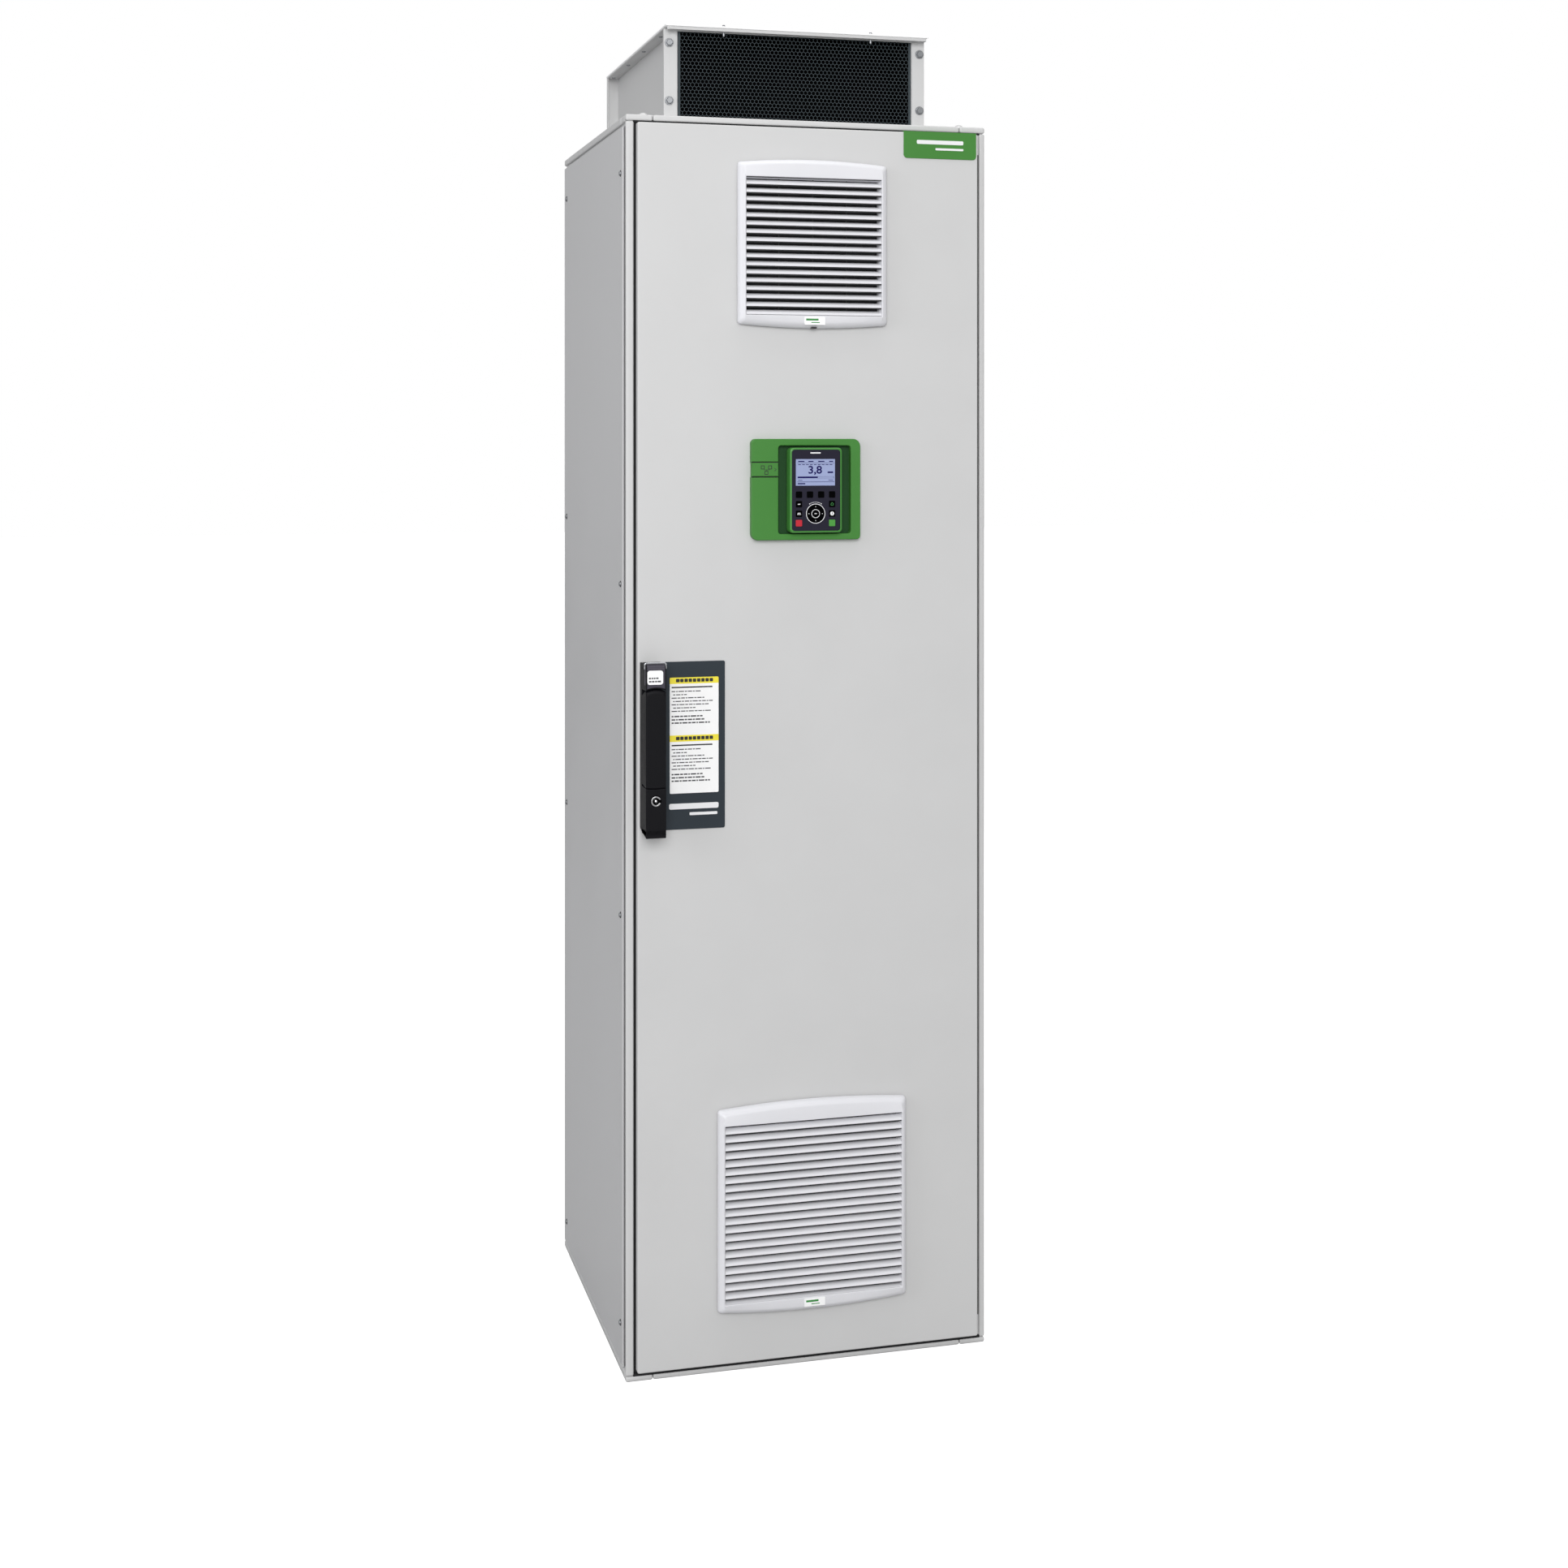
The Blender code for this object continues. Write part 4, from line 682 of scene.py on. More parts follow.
def hood_mesh():
    """Sheet of hexagonal holes with thin bars, in a narrow edge frame."""
    low, high = box_of("hood_mesh")
    pitch = 0.0067
    bar = 0.00075
    row_pitch = pitch * math.sqrt(3) / 2
    piece = Piece("hood_hexagon_mesh", "mesh_steel")
    shape = bmesh.new()
    outer = pitch / math.sqrt(3)
    inner = outer - bar / 2 / math.cos(math.pi / 6)
    rows = int((high.z - low.z) / row_pitch)
    columns = int((high.x - low.x) / pitch)
    first_z = (low.z + high.z) / 2 - row_pitch * (rows - 1) / 2
    first_x = -pitch * (columns - 1) / 2
    middle = (low.y + high.y) / 2
    for row in range(rows):
        shift = pitch / 2 if row % 2 else 0.0
        for column in range(columns - row % 2):
            centre = Vector((first_x + shift + pitch * column, middle, first_z + row_pitch * row))
            rings = []
            for radius in (outer, inner):
                ring = []
                for corner in range(6):
                    angle = math.radians(30 + 60 * corner)
                    offset = Vector((math.cos(angle), 0.0, math.sin(angle))) * radius
                    ring.append(shape.verts.new(centre + offset))
                rings.append(ring)
            for corner in range(6):
                after = (corner + 1) % 6
                shape.faces.new((rings[0][corner], rings[0][after], rings[1][after], rings[1][corner]))
    bmesh.ops.remove_doubles(shape, verts=shape.verts, dist=pitch * 0.05)
    bmesh.ops.recalc_face_normals(shape, faces=shape.faces)
    bmesh.ops.solidify(shape, geom=shape.faces[:], thickness=0.0006)
    bmesh.ops.recalc_face_normals(shape, faces=shape.faces)
    piece.take(shape)
    edge = 0.004
    piece.plate(
        [
            rectangle(low.x, high.x, low.z, high.z),
            rectangle(low.x + edge, high.x - edge, low.z + edge, high.z - edge)
        ],
        "XZ", low.y + 0.0002, high.y, 0.0002, 1,
    )
    piece.done("hood_mesh")


# ---- door ----------------------------------------------------------------------------------------
EDGE = 0.0022                   # radius of the door's folded edges


def ring_at(left, right, low, high, radius, y, steps=5):
    return [Vector((x, y, z)) for x, z in rounded(left, right, low, high, radius, steps)]


def door_skin():
    """Door sheet folded back all round, with openings for the grilles and the spindle."""
    low = DOOR_LOW
    high = DOOR_HIGH - Vector((0.0015, 0.0, 0.0))
    piece = Piece("door_skin", "cabinet_paint", "door")
    rings = []
    border = 0.010
    wall = 0.0018
    corner = 0.0030

    def ring(inset, y):
        return ring_at(
            low.x + inset, high.x - inset, low.z + inset, high.z - inset, max(corner - inset, 0.0006), y
        )

    rings.append(ring(border, low.y))
    rings.append(ring(EDGE + 0.0006, low.y))
    for step in range(6):
        angle = math.radians(15 + 75 * step / 5)
        rings.append(ring(EDGE * (1 - math.sin(angle)), low.y + EDGE * (1 - math.cos(angle))))
    rings.append(ring(0.0, high.y))
    rings.append(ring(wall, high.y))
    rings.append(ring(wall, low.y + 0.0020))
    rings.append(ring(border, low.y + 0.0020))
    piece.loft(rings, closed=True)
    loops = [rectangle(low.x + border, high.x - border, low.z + border, high.z - border)]
    for level in ("upper", "lower"):
        cut_low, cut_high = box_of(level + "_filter_mat")
        loops.append(
            rectangle(cut_low.x - 0.003, cut_high.x + 0.003, cut_low.z - 0.003, cut_high.z + 0.003)
        )
    loops.append(circle((BASE_LOW.x + 0.016, PIVOT_Z), 0.007))
    piece.plate(loops, "XZ", low.y, low.y + 0.0020, 0.0)
    piece.done("door_panel")


def corner_badge():
    """Green plate folded over the door's top edge, with two plain pale bars."""
    low = CORNER_LOW + Vector((-0.0034, 0.0, 0.0015))
    high = CORNER_HIGH - Vector((0.0017, 0.0, 0.0))
    front = low.y
    shape = rounded(low.x, high.x, low.z, high.z - 0.0002, (0.006, 0.006, 0.0008, 0.0008))
    piece = Piece("corner_badge", "green_plastic", "door")
    piece.plate([shape], "XZ", front, front + 0.0013, 0.0004)
    piece.box((low.x, high.x), (front, high.y), (high.z - 0.0013, high.z), 0.0005)
    piece.done("corner_plate")
    middle = (low.x + high.x) / 2
    long_bar = rounded(*about(middle, 0.040), low.z + 0.0235, low.z + 0.0300, 0.002)
    short_bar = rounded(middle - 0.008, middle + 0.040, low.z + 0.0140, low.z + 0.0175, 0.001)
    prints("corner_badge_bars", "white_print", "door", front, [[long_bar], [short_bar]], *PALE_PRINT)


PAPER = (-0.2330, -0.1540, 0.9280, 1.1110)


def label_plate():
    """Slate plate with a plain white card: two yellow bands and rows of grey bars."""
    low, high = PLATE_LOW, PLATE_HIGH
    shape = rounded(low.x, high.x, low.z, high.z, (0.0004, 0.003, 0.003, 0.0004))
    plate = Piece("slate_plate", "plate_slate", "door")
    plate.plate([shape], "XZ", low.y, high.y, 0.0004).done("label_plate")
    front = low.y
    left, right, _, top = PAPER
    prints(
        "white_card", "paper_white", "door", front, [[rounded(*PAPER, 0.0018)]], 0.00025, 0.0002, 0.00005
    )
    upper_band = rounded(left, right, 1.1010, top, (0.0004, 0.0004, 0.0018, 0.0018))
    lower_band = rounded(left, right, 1.0097, 1.0198, 0.0003)
    prints(
        "yellow_bands", "paper_yellow", "door", front, [[upper_band], [lower_band]], 0.00036, 0.0, 0.00004
    )
    heads = Piece("band_bars", "dark_print_and_grille_shade", "door")
    for z in (1.1035, 1.0122):
        for block in range(9):
            x = left + 0.0100 + 0.0068 * block
            wide = 0.0056 if block else 0.0060
            heads.mark([rounded(x, x + wide, z, z + 0.0054, 0.0010)], front, 0.00045, 0.0, 0.00004)
    for z in (1.0955, 1.0040):
        title = rounded(left + 0.003, right - 0.010, z - 0.0012, z + 0.0010, 0.0004)
        heads.mark([title], front, 0.00034, 0.0, 0.00004)
    heads.done()
    text_rows(left, front)
    long_bar = rounded(left - 0.001, right, 0.9030, 0.9120, 0.0025)
    short_bar = rounded(left + 0.032, right - 0.002, 0.8930, 0.8975, 0.0012)
    prints("plate_bars", "white_print", "door", front, [[long_bar], [short_bar]], *PALE_PRINT)


def text_rows(left, front):
    """Rows of short bars in place of the card's small print, the last three of each half bolder."""
    rows = Piece("text_bars", "print_grey", "door")
    widths = (0.0060, 0.0035, 0.0082, 0.0024, 0.0070, 0.0046, 0.0090, 0.0030)
    lengths = (0.048, 0.022, 0.054, 0.064, 0.060, 0.036, 0.066, 0.050, 0.056, 0.062)
    for start in (1.0890, 0.9975):
        for index, length in enumerate(lengths):
            bold = index > 6
            z = start - 0.0052 * index - (0.003 if bold else 0.0)
            x = left + (0.003 if bold or index % 2 == 0 else 0.0055)
            end = x + length
            word = index
            while x < end - 0.002:
                after = min(x + widths[word % len(widths)], end)
                height = about(z, 0.0011 if bold else 0.0008)
                rows.box((x, after), (front - 0.00034, front - 0.0001), height, 0.0, 1)
                x = after + 0.0013
                word += 3
    rows.done()


# ---- grilles -------------------------------------------------------------------------------------
GRILLES = {
    # field's half width, low and high; straight low and high edges; arches; blades; pitch
    "upper": (0.1125, 1.6845, 1.9040, 1.6703, 1.9278, 0.0060, 0.0065, 17, 0.01291),
    "lower": (0.1466, 0.1187, 0.4005, 0.1031, 0.4235, 0.0078, 0.0076, 22, 0.01302),
}
BLADE = (                       # louvre section: depth behind its front edge and height
    (0.0000, 0.0004), (0.0002, 0.0017), (0.0010, 0.0034), (0.0026, 0.0049), (0.0050, 0.0063),
    (0.0078, 0.0073), (0.0100, 0.0078), (0.0100, 0.0064), (0.0070, 0.0056), (0.0042, 0.0042),
    (0.0020, 0.0022), (0.0010, 0.0003), (0.0003, 0.0000),
)


BORDER = (                      # cover's rings: inset, height over the door, dome, corner radius
    (0.0022, 0.0036, 0.0, 0.004), (0.0, 0.0040, 0.0, 0.005), (0.0004, 0.0075, 0.0003, 0.005),
    (0.0016, 0.0104, 0.0006, 0.005), (0.0036, 0.0128, 0.0010, 0.005), (0.0062, 0.0147, 0.0014, 0.004),
    (0.0096, 0.0161, 0.0018, 0.003),
)
FIELD_EDGE = (                  # rings round the field: growth, height over the door
    (0.0018, 0.0180), (0.0008, 0.0180), (0.0001, 0.0174), (0.0, 0.0160), (-0.0030, 0.0055), (0.004, 0.0048),
)
BLADE_FRONT = DOOR_FACE - 0.0172


def arched(half, low, high, rise_low, rise_high, corner, face, dome, reach, steps=12):
    """A ring of points round a rectangle with bowed ends, bulging forward by dome at the middle."""
    flat = []
    for sign_x, sign_z, start in ((-1, -1, 180), (1, -1, 270), (1, 1, 0), (-1, 1, 90)):
        edge = low if sign_z < 0 else high
        centre = (sign_x * (half - corner), edge - sign_z * corner)
        flat += arc(centre, corner, start, start + 90, 4)
        if sign_x * sign_z > 0:
            for step in range(1, steps):
                share = step / steps
                x = (half - corner) * (1 - 2 * share) * sign_x
                flat.append((x, edge))
    points = []
    for x, z in flat:
        share = 1 - min(1.0, abs(x) / reach) ** 2
        rise = rise_high if z > (low + high) / 2 else -rise_low
        points.append(Vector((x, face - dome * share, z + rise * share)))
    return points


def grille_cover(level):
    """Moulded cover: a domed border around a field of curved, sloping blades."""
    half, field_low, field_high, base_low, base_high, rise_low, rise_high, blades, pitch = GRILLES[level]
    reach = box_of(level + "_grille_cover")[1].x

    def ring(inset, proud, dome, corner):
        return arched(reach - inset, base_low + inset, base_high - inset, rise_low, rise_high, corner,
                      DOOR_FACE - proud, dome, reach)

    def field_ring(grow, proud):
        return arched(half + grow, field_low - grow, field_high + grow, 0.0, 0.0, 0.0010,
                      DOOR_FACE - proud, 0.0, reach)

    cover = Piece(level + "_louvre_cover", "grille_plastic", level + "_grille")
    cover.loft([ring(*row) for row in BORDER] + [field_ring(*row) for row in FIELD_EDGE], closed=True)
    for blade in range(blades):
        base = field_high - pitch * (blade + 1) + 0.0006
        ends = []
        for side in (-1, 1):
            end = []
            for depth, height in BLADE:
                x = side * (half - 0.0002 - 0.26 * depth)
                end.append(Vector((x, BLADE_FRONT + depth, base + height)))
            ends.append(end)
        cover.loft(ends)
    cover.done(level + "_grille_cover", sharp=32)
    grille_shade_strips(level)
    if level == "upper":
        bottom = base_low - rise_low
        # A dark block at the cover's lower edge: painted shade of the release notch.
        notch = Piece("upper_release_notch_shadow", "gasket_rubber", "upper_grille")
        deep = (DOOR_FACE - 0.0150, DOOR_FACE - 0.0060)
        notch.box(about(0, 0.0045), deep, (bottom - 0.0001, bottom + 0.0014), 0.0004).done()
    grille_label(level, field_low - 0.0086)
    grille_flange(level)


def grille_shade_strips(level):
    """Painted shadow: dark strips under each blade's front edge, and three uprights behind the blades painted
    dark as shade.
    """
    half, field_low, field_high, blades, pitch = [GRILLES[level][place] for place in (0, 1, 2, 7, 8)]
    shade_strips = Piece(level + "_grille_shade_strips", "dark_print_and_grille_shade", level + "_grille")
    strip = (BLADE_FRONT + 0.0012, BLADE_FRONT + 0.0034)
    for blade in range(blades):
        base = field_high - pitch * blade + 0.0006
        shade_strips.box(about(0, half - 0.0006), strip, (base - 0.0018, base + 0.0002), 0.0, 1)
    deep = (BLADE_FRONT + 0.0100, BLADE_FRONT + 0.0125)
    for share in (-0.5, 0.0, 0.5):
        shade_strips.box(about(half * share, 0.0008), deep, (field_low, field_high), 0.0002)
    shade_strips.done()


def grille_label(level, middle):
    """Small pale label with two plain green bars, on the cover's lower border."""
    body = level + "_grille"
    face = DOOR_FACE - 0.0188
    label = rounded(*about(0, 0.0170), *about(middle, 0.0064), 0.0008)
    prints(level + "_grille_label", "paper_white", body, face, [[label]], 0.0, 0.0016, 0.0001)
    upper_bar = rounded(-0.0145, 0.0060, middle + 0.0004, middle + 0.0036, 0.0005)
    lower_bar = rounded(-0.0060, 0.0080, middle - 0.0034, middle - 0.0020, 0.0005)
    bars = [[upper_bar], [lower_bar]]
    prints(level + "_grille_label_bars", "print_green", body, face, bars, 0.0001, 0.0004, 0.00004)


def grille_flange(level):
    """Part of the filter that stays in the door: flange, collar and the grid that holds the mat."""
    rim = Piece(level + "_grille_flange", "grille_plastic", "door")
    low, high = box_of(level + "_filter_mat")
    hole = rectangle(low.x, high.x, low.z, high.z)
    lip = 0.0055
    outer = rounded(low.x - lip, high.x + lip, low.z - lip, high.z + lip, 0.002)
    rim.plate([outer, hole], "XZ", DOOR_FACE - 0.0032, DOOR_FACE - HAIR, 0.0004)
    deep = DOOR_FACE + 0.022
    wall = 0.002
    sides = (
        (low.x - wall, low.x, low.z - wall, high.z + wall),
        (high.x, high.x + wall, low.z - wall, high.z + wall),
        (low.x, high.x, low.z - wall, low.z), (low.x, high.x, high.z, high.z + wall),
    )
    for left, right, base, top in sides:
        rim.box((left, right), (DOOR_FACE - 0.001, deep), (base, top), 0.0004)
    count = 12
    for index in range(1, count):
        x = low.x + (high.x - low.x) * index / count
        z = low.z + (high.z - low.z) * index / count
        rim.box(about(x, 0.0008), (deep - 0.005, deep - 0.001), (low.z, high.z), 0.0003)
        rim.box((low.x, high.x), (deep - 0.005, deep - 0.001), about(z, 0.0008), 0.0003)
    rim.done(level + "_grille_frame")


# ---- handle --------------------------------------------------------------------------------------
def handle():
    """Escutcheon with a lock block below the lever and a label block above it."""
    low, high = BASE_LOW, BASE_HIGH
    centre = (low.x + high.x) / 2
    half = (high.x - low.x) / 2
    back = DOOR_FACE - HAIR
    front = low.y
    shelf = LEVER_HIGH.y + 0.0007
    foot = low.z - 0.0020
    spine = Piece("handle_spine", "black_plastic", "door")
    profile = [
        (back, low.z + 0.0075), (shelf, low.z + 0.0030), (shelf, high.z - 0.0035), (back, high.z - 0.0045)
    ]
    spine.plate([profile], "YZ", low.x, high.x, 0.0008, 2)
    bottom_radius = PIVOT_Z - LEVER_LOW.z + 0.0007
    reach = math.degrees(math.asin(half / bottom_radius))
    lower = [(low.x, foot + 0.004), (high.x, foot + 0.004)]
    lower += arc((centre, PIVOT_Z), bottom_radius, 270 + reach, 270 - reach, 10)
    spine.plate([lower, circle((centre, LOCK_Z), LOCK_WELL, 40)], "XZ", front, shelf + 0.001, 0.0011, 3)
    wedge = [
        (shelf + 0.001, low.z + 0.0030), (shelf + 0.001, foot + 0.012), (front, foot + 0.012), (front, foot)
    ]
    spine.plate([wedge], "YZ", low.x, high.x, 0.0011, 3)
    top_radius = LEVER_HIGH.z - PIVOT_Z + 0.0009
    reach = math.degrees(math.asin(half / top_radius))
    upper = arc((centre, PIVOT_Z), top_radius, 90 + reach, 90 - reach, 10)
    upper += [(high.x, 1.1300), (low.x, 1.1300)]
    spine.plate([upper], "XZ", front, shelf + 0.001, 0.0011, 3)
    crown = [
        (shelf + 0.001, 1.1280),
        (front + 0.0006, 1.1280), (front + 0.0009, 1.1310), (front + 0.0026, 1.1338),
        (front + 0.0070, 1.1362), (front + 0.0180, high.z - 0.0036), (shelf + 0.001, high.z - 0.0035),
    ]
    spine.plate([crown], "YZ", low.x, high.x, 0.0006, 2)
    spine.done("handle_base")
    handle_trim(centre, half, front, top_radius)


def handle_trim(centre, half, front, top_radius):
    """Insert, plain label and clear clip on the handle's upper block."""
    insert = Piece("handle_insert", "insert_plastic", "door")
    edge = half * 0.88
    reach = math.degrees(math.asin(edge / (top_radius + 0.0022)))
    inner = arc((centre, PIVOT_Z), top_radius + 0.0022, 90 + reach, 90 - reach, 10)
    inner += [(centre + edge, 1.1300), (centre - edge, 1.1300)]
    insert.mark([inner], front, 0.0004, 0.001, 0.0002)
    wall = centre - half
    insert.box((wall - 0.0004, wall + 0.0010), (front + 0.0030, front + 0.0100), (1.1050, 1.1330), 0.0004)
    brow = [
        (front + 0.0008, 1.1295), (front - 0.0004, 1.1295), (front, 1.1322), (front + 0.0018, 1.1348),
        (front + 0.0064, 1.1374), (front + 0.0120, 1.1380), (front + 0.0120, 1.1360),
        (front + 0.0050, 1.1345),
    ]
    insert.plate([brow], "YZ", centre - edge, centre + edge, 0.0003, 2)
    insert.done()
    label = Piece("handle_label", "paper_white", "door")
    middle = centre - 0.0015
    label.mark([rounded(*about(middle, 0.0125), 1.1062, 1.1282, 0.0040)], front, 0.0007, 0, 0.0001)
    label.done()
    bars = Piece("handle_label_bars", "print_grey", "door")
    rows = (
        (1.1162, (-0.0100, -0.0060, -0.0022, 0.0012, 0.0060)),
        (1.1112, (-0.0100, -0.0052, -0.0004, 0.0038, 0.0098))
    )
    for z, cuts in rows:
        for near, far in zip(cuts, cuts[1:]):
            bars.box(
                (middle + near, middle + far - 0.0010), (front - 0.00085, front - 0.0006), about(z, 0.0012),
                0.0, 1
            )
    bars.done()
    bail = Piece("handle_bail", "bail_plastic", "door")
    reach = half + 0.0008
    depth = front + 0.0062
    corner = 0.0030
    crest = 1.1392
    path = [(centre - reach, depth, 1.1300), (centre - reach, depth, 1.1345)]
    path += [(x, depth, z) for x, z in arc((centre - reach + corner, crest - corner), corner, 180, 90, 5)]
    path += [(x, depth, z) for x, z in arc((centre + reach - corner, crest - corner), corner, 90, 0, 5)]
    path += [(centre + reach, depth, 1.1345), (centre + reach, depth, 1.1300)]
    bail.tube(path, 0.0013, 14)
    bail.done()


def lever():
    """Long lever with rounded long edges, on its lifting pin."""
    low, high = LEVER_LOW, LEVER_HIGH
    centre = (low.x + high.x) / 2
    half = (high.x - low.x) / 2
    radius = high.z - PIVOT_Z
    lower_radius = PIVOT_Z - low.z
    piece = Piece("handle_lever_body", "black_plastic", "lever")
    reach = math.degrees(math.asin(half / radius))
    lower_reach = math.degrees(math.asin(half / lower_radius))
    outline = arc((centre, PIVOT_Z), radius, 90 - reach, 90 + reach, 8)
    outline += arc((centre, PIVOT_Z), lower_radius, 270 - lower_reach, 270 + lower_reach, 8)
    bulge = 0.0052
    edge = 0.0016
    rings = []
    back_drop = 0.0110
    nose = 0.0060
    stations = [
        (0.0, high.y), (0.0, high.y - 0.006), (0.0, low.y + bulge + 0.004), (0.0, low.y + nose),
        (0.0, low.y + 0.0042), (0.0, low.y + 0.0028),
    ]
    for step in range(7):
        angle = math.radians(90 * step / 6)
        stations.append((edge * (1 - math.cos(angle)), low.y + edge * (1 - math.sin(angle))))
    for inset, y in stations:
        share = (y - low.y) / (high.y - low.y)
        drop = back_drop * max(0.0, share - 0.10) ** 1.5
        ahead = max(0.0, low.y + nose - y)
        drop += nose - math.sqrt(max(0.0, nose ** 2 - ahead ** 2))
        rise = 0.0030 * share
        ring = []
        for x, z in outline:
            scale = (half - inset) / half
            near_x = centre + (x - centre) * scale
            if z > PIVOT_Z:
                near_z = z - inset - drop
            else:
                near_z = z + inset + rise
            ring.append(Vector((near_x, y, near_z)))
        rings.append(ring)
    piece.loft(rings)
    piece.carve((centre - 0.0066, low.y + 0.0025, 1.0335), (centre + 0.0066, high.y + 0.01, high.z + 0.01))
    piece.done("handle_lever")
    Piece("lever_pin", "zinc_steel", "lever").turned(
        [(0, -half + 0.0006), (0.0012, -half + 0.0006), (0.0012, half - 0.0006), (0, half - 0.0006)],
        (centre, low.y + 0.006, high.z - 0.006), "X", 16
    ).done()


def lock():
    """Lock insert: bright collar with a side notch, dark well and a centre pin."""
    low, high = LOCK_LOW, LOCK_HIGH
    centre = (low + high) / 2
    place = (centre.x, low.y, centre.z)
    spot = (centre.x, centre.z)
    collar = Piece("lock_collar", "lock_metal", "lock")
    notch = 20
    outer = arc(spot, 0.0079, notch, 360 - notch, 44)
    inner = arc(spot, 0.0056, 360 - notch * 1.4, notch * 1.4, 44)
    collar.plate([outer + inner], "XZ", low.y - 0.0009, low.y + 0.004, 0.0005, 3)
    collar.turned(
        [(0, -0.008), (0.0026, -0.008), (0.0026, -0.0016), (0.0020, -0.0004), (0, 0.0002)], place, "-Y", 24
    )
    collar.done("lock_cylinder")
    well = Piece("lock_well", "key_black", "lock")
    rim = [(0, -0.0110), (0.0079, -0.0110), (0.0079, -0.0024), (0.0050, -0.0040), (0, -0.0044)]
    well.turned(rim, place, "-Y", 40)
    well.done()


# ---- operating terminal ----------------------------------------------------------------------------
RECESS = (-0.0587, 0.0614, 1.3358, 1.4768)
PORT_BASE = PORT_LOW.z - 0.0014
PORT_TOP = PORT_HIGH.z + 0.0014


def terminal_holder():
    """Green bezel, open at its left where the port cover lies, around a recess whose floor is painted darker
    green as shade.
    """
    low, high = HOLDER_LOW, HOLDER_HIGH
    left, right, base, top = RECESS
    corner = 0.0045
    shape = [(low.x, PORT_BASE), (low.x, PORT_BASE - 0.002)]
    for x, z, radius, start, steps in (
        (low.x + 0.011, low.z + 0.011, 0.011, 180, 8), (high.x - 0.006, low.z + 0.006, 0.006, 270, 6),
        (high.x - 0.012, high.z - 0.012, 0.012, 0, 8), (low.x + 0.008, high.z - 0.008, 0.008, 90, 6),
    ):
        shape += arc((x, z), radius, start, start + 90, steps)
    shape += [(low.x, PORT_TOP), (left, PORT_TOP)]
    for x, z, start in (
        (left + corner, top - corner, 180), (right - corner, top - corner, 90),
        (right - corner, base + corner, 0), (left + corner, base + corner, 270),
    ):
        shape += arc((x, z), corner, start, start - 90, 5)
    shape += [(left, PORT_BASE)]
    bezel = Piece("terminal_bezel", "green_plastic", "door")
    bezel.plate([shape], "XZ", low.y, high.y, 0.0014, 3)
    socket = rectangle(-0.1000, -0.0890, PORT_LOW.z + 0.0035, PORT_HIGH.z - 0.0035)
    track = rectangle(low.x + 0.0012, left - 0.0002, PORT_BASE - 0.001, PORT_TOP + 0.001)
    bezel.plate([track, socket], "XZ", PORT_HIGH.y + 0.0004, high.y, 0.0003, 1)
    bezel.done("terminal_holder")
    # Recess floor and the spot behind the port socket are painted darker green as shade.
    floor = Piece("recess_floor", "green_painted_recess_shade", "door")
    deep = (high.y - 0.0014, high.y - 0.0002)
    floor.box((left - 0.001, right + 0.001), deep, (base - 0.001, top + 0.001), 0.0)
    floor.box((-0.1005, -0.0885), (high.y - 0.0018, high.y - 0.0004), (PORT_LOW.z, PORT_HIGH.z), 0.0)
    floor.done()
    # Dark strips in the gaps above and below the port cover: painted shadow.
    gaps = Piece("port_gap_shadows", "gasket_rubber", "door")
    for z in (PORT_BASE, PORT_TOP - 0.0012):
        deep = (PORT_LOW.y + 0.0003, PORT_HIGH.y + 0.0006)
        gaps.box((low.x + 0.0002, left - 0.0002), deep, (z, z + 0.0012), 0.0)
    gaps.done()
    port_shutter()


def port_shutter():
    """Sliding cover of the service port, with a small plain diagram and an arrow."""
    cover = Piece("port_shutter_plate", "green_plastic", "port_shutter")
    shape = rounded(PORT_LOW.x, PORT_HIGH.x, PORT_LOW.z, PORT_HIGH.z, 0.0004)
    cover.plate([shape], "XZ", PORT_LOW.y, PORT_HIGH.y, 0.0008, 3).done("port_cover")
    icon = Piece("port_icon", "fan_plastic", "port_shutter")
    face = PORT_LOW.y
    middle = (PORT_LOW.z + PORT_HIGH.z) / 2
    size = 0.0031
    hole = size - 0.0011
    for x, z in ((-0.0845, middle + 0.0035), (-0.0725, middle + 0.0035), (-0.0785, middle - 0.0050)):
        loops = [
            rounded(*about(x, size), *about(z, size), 0.0006),
            rounded(*about(x, hole), *about(z, hole), 0.0003)
        ]
        icon.mark(loops, face, 0.0001, 0.0003, 0.00005)
    layer = (face - 0.0001, face + 0.0003)
    icon.box((-0.0830, -0.0730), layer, (middle - 0.0008, middle - 0.0001), 0.0001, 1)
    icon.box((-0.0783, -0.0777), layer, (middle - 0.0022, middle - 0.0006), 0.0001, 1)
    tip = PORT_HIGH.x - 0.0030
    for way in (-1, 1):
        outer = (tip - 0.0034, middle + way * 0.0026)
        inner = (tip - 0.0040, middle + way * 0.0020)
        icon.mark([[(tip, middle), outer, inner, (tip - 0.0011, middle)]], face, 0.0001, 0.0003, 0.00003)
    icon.done()


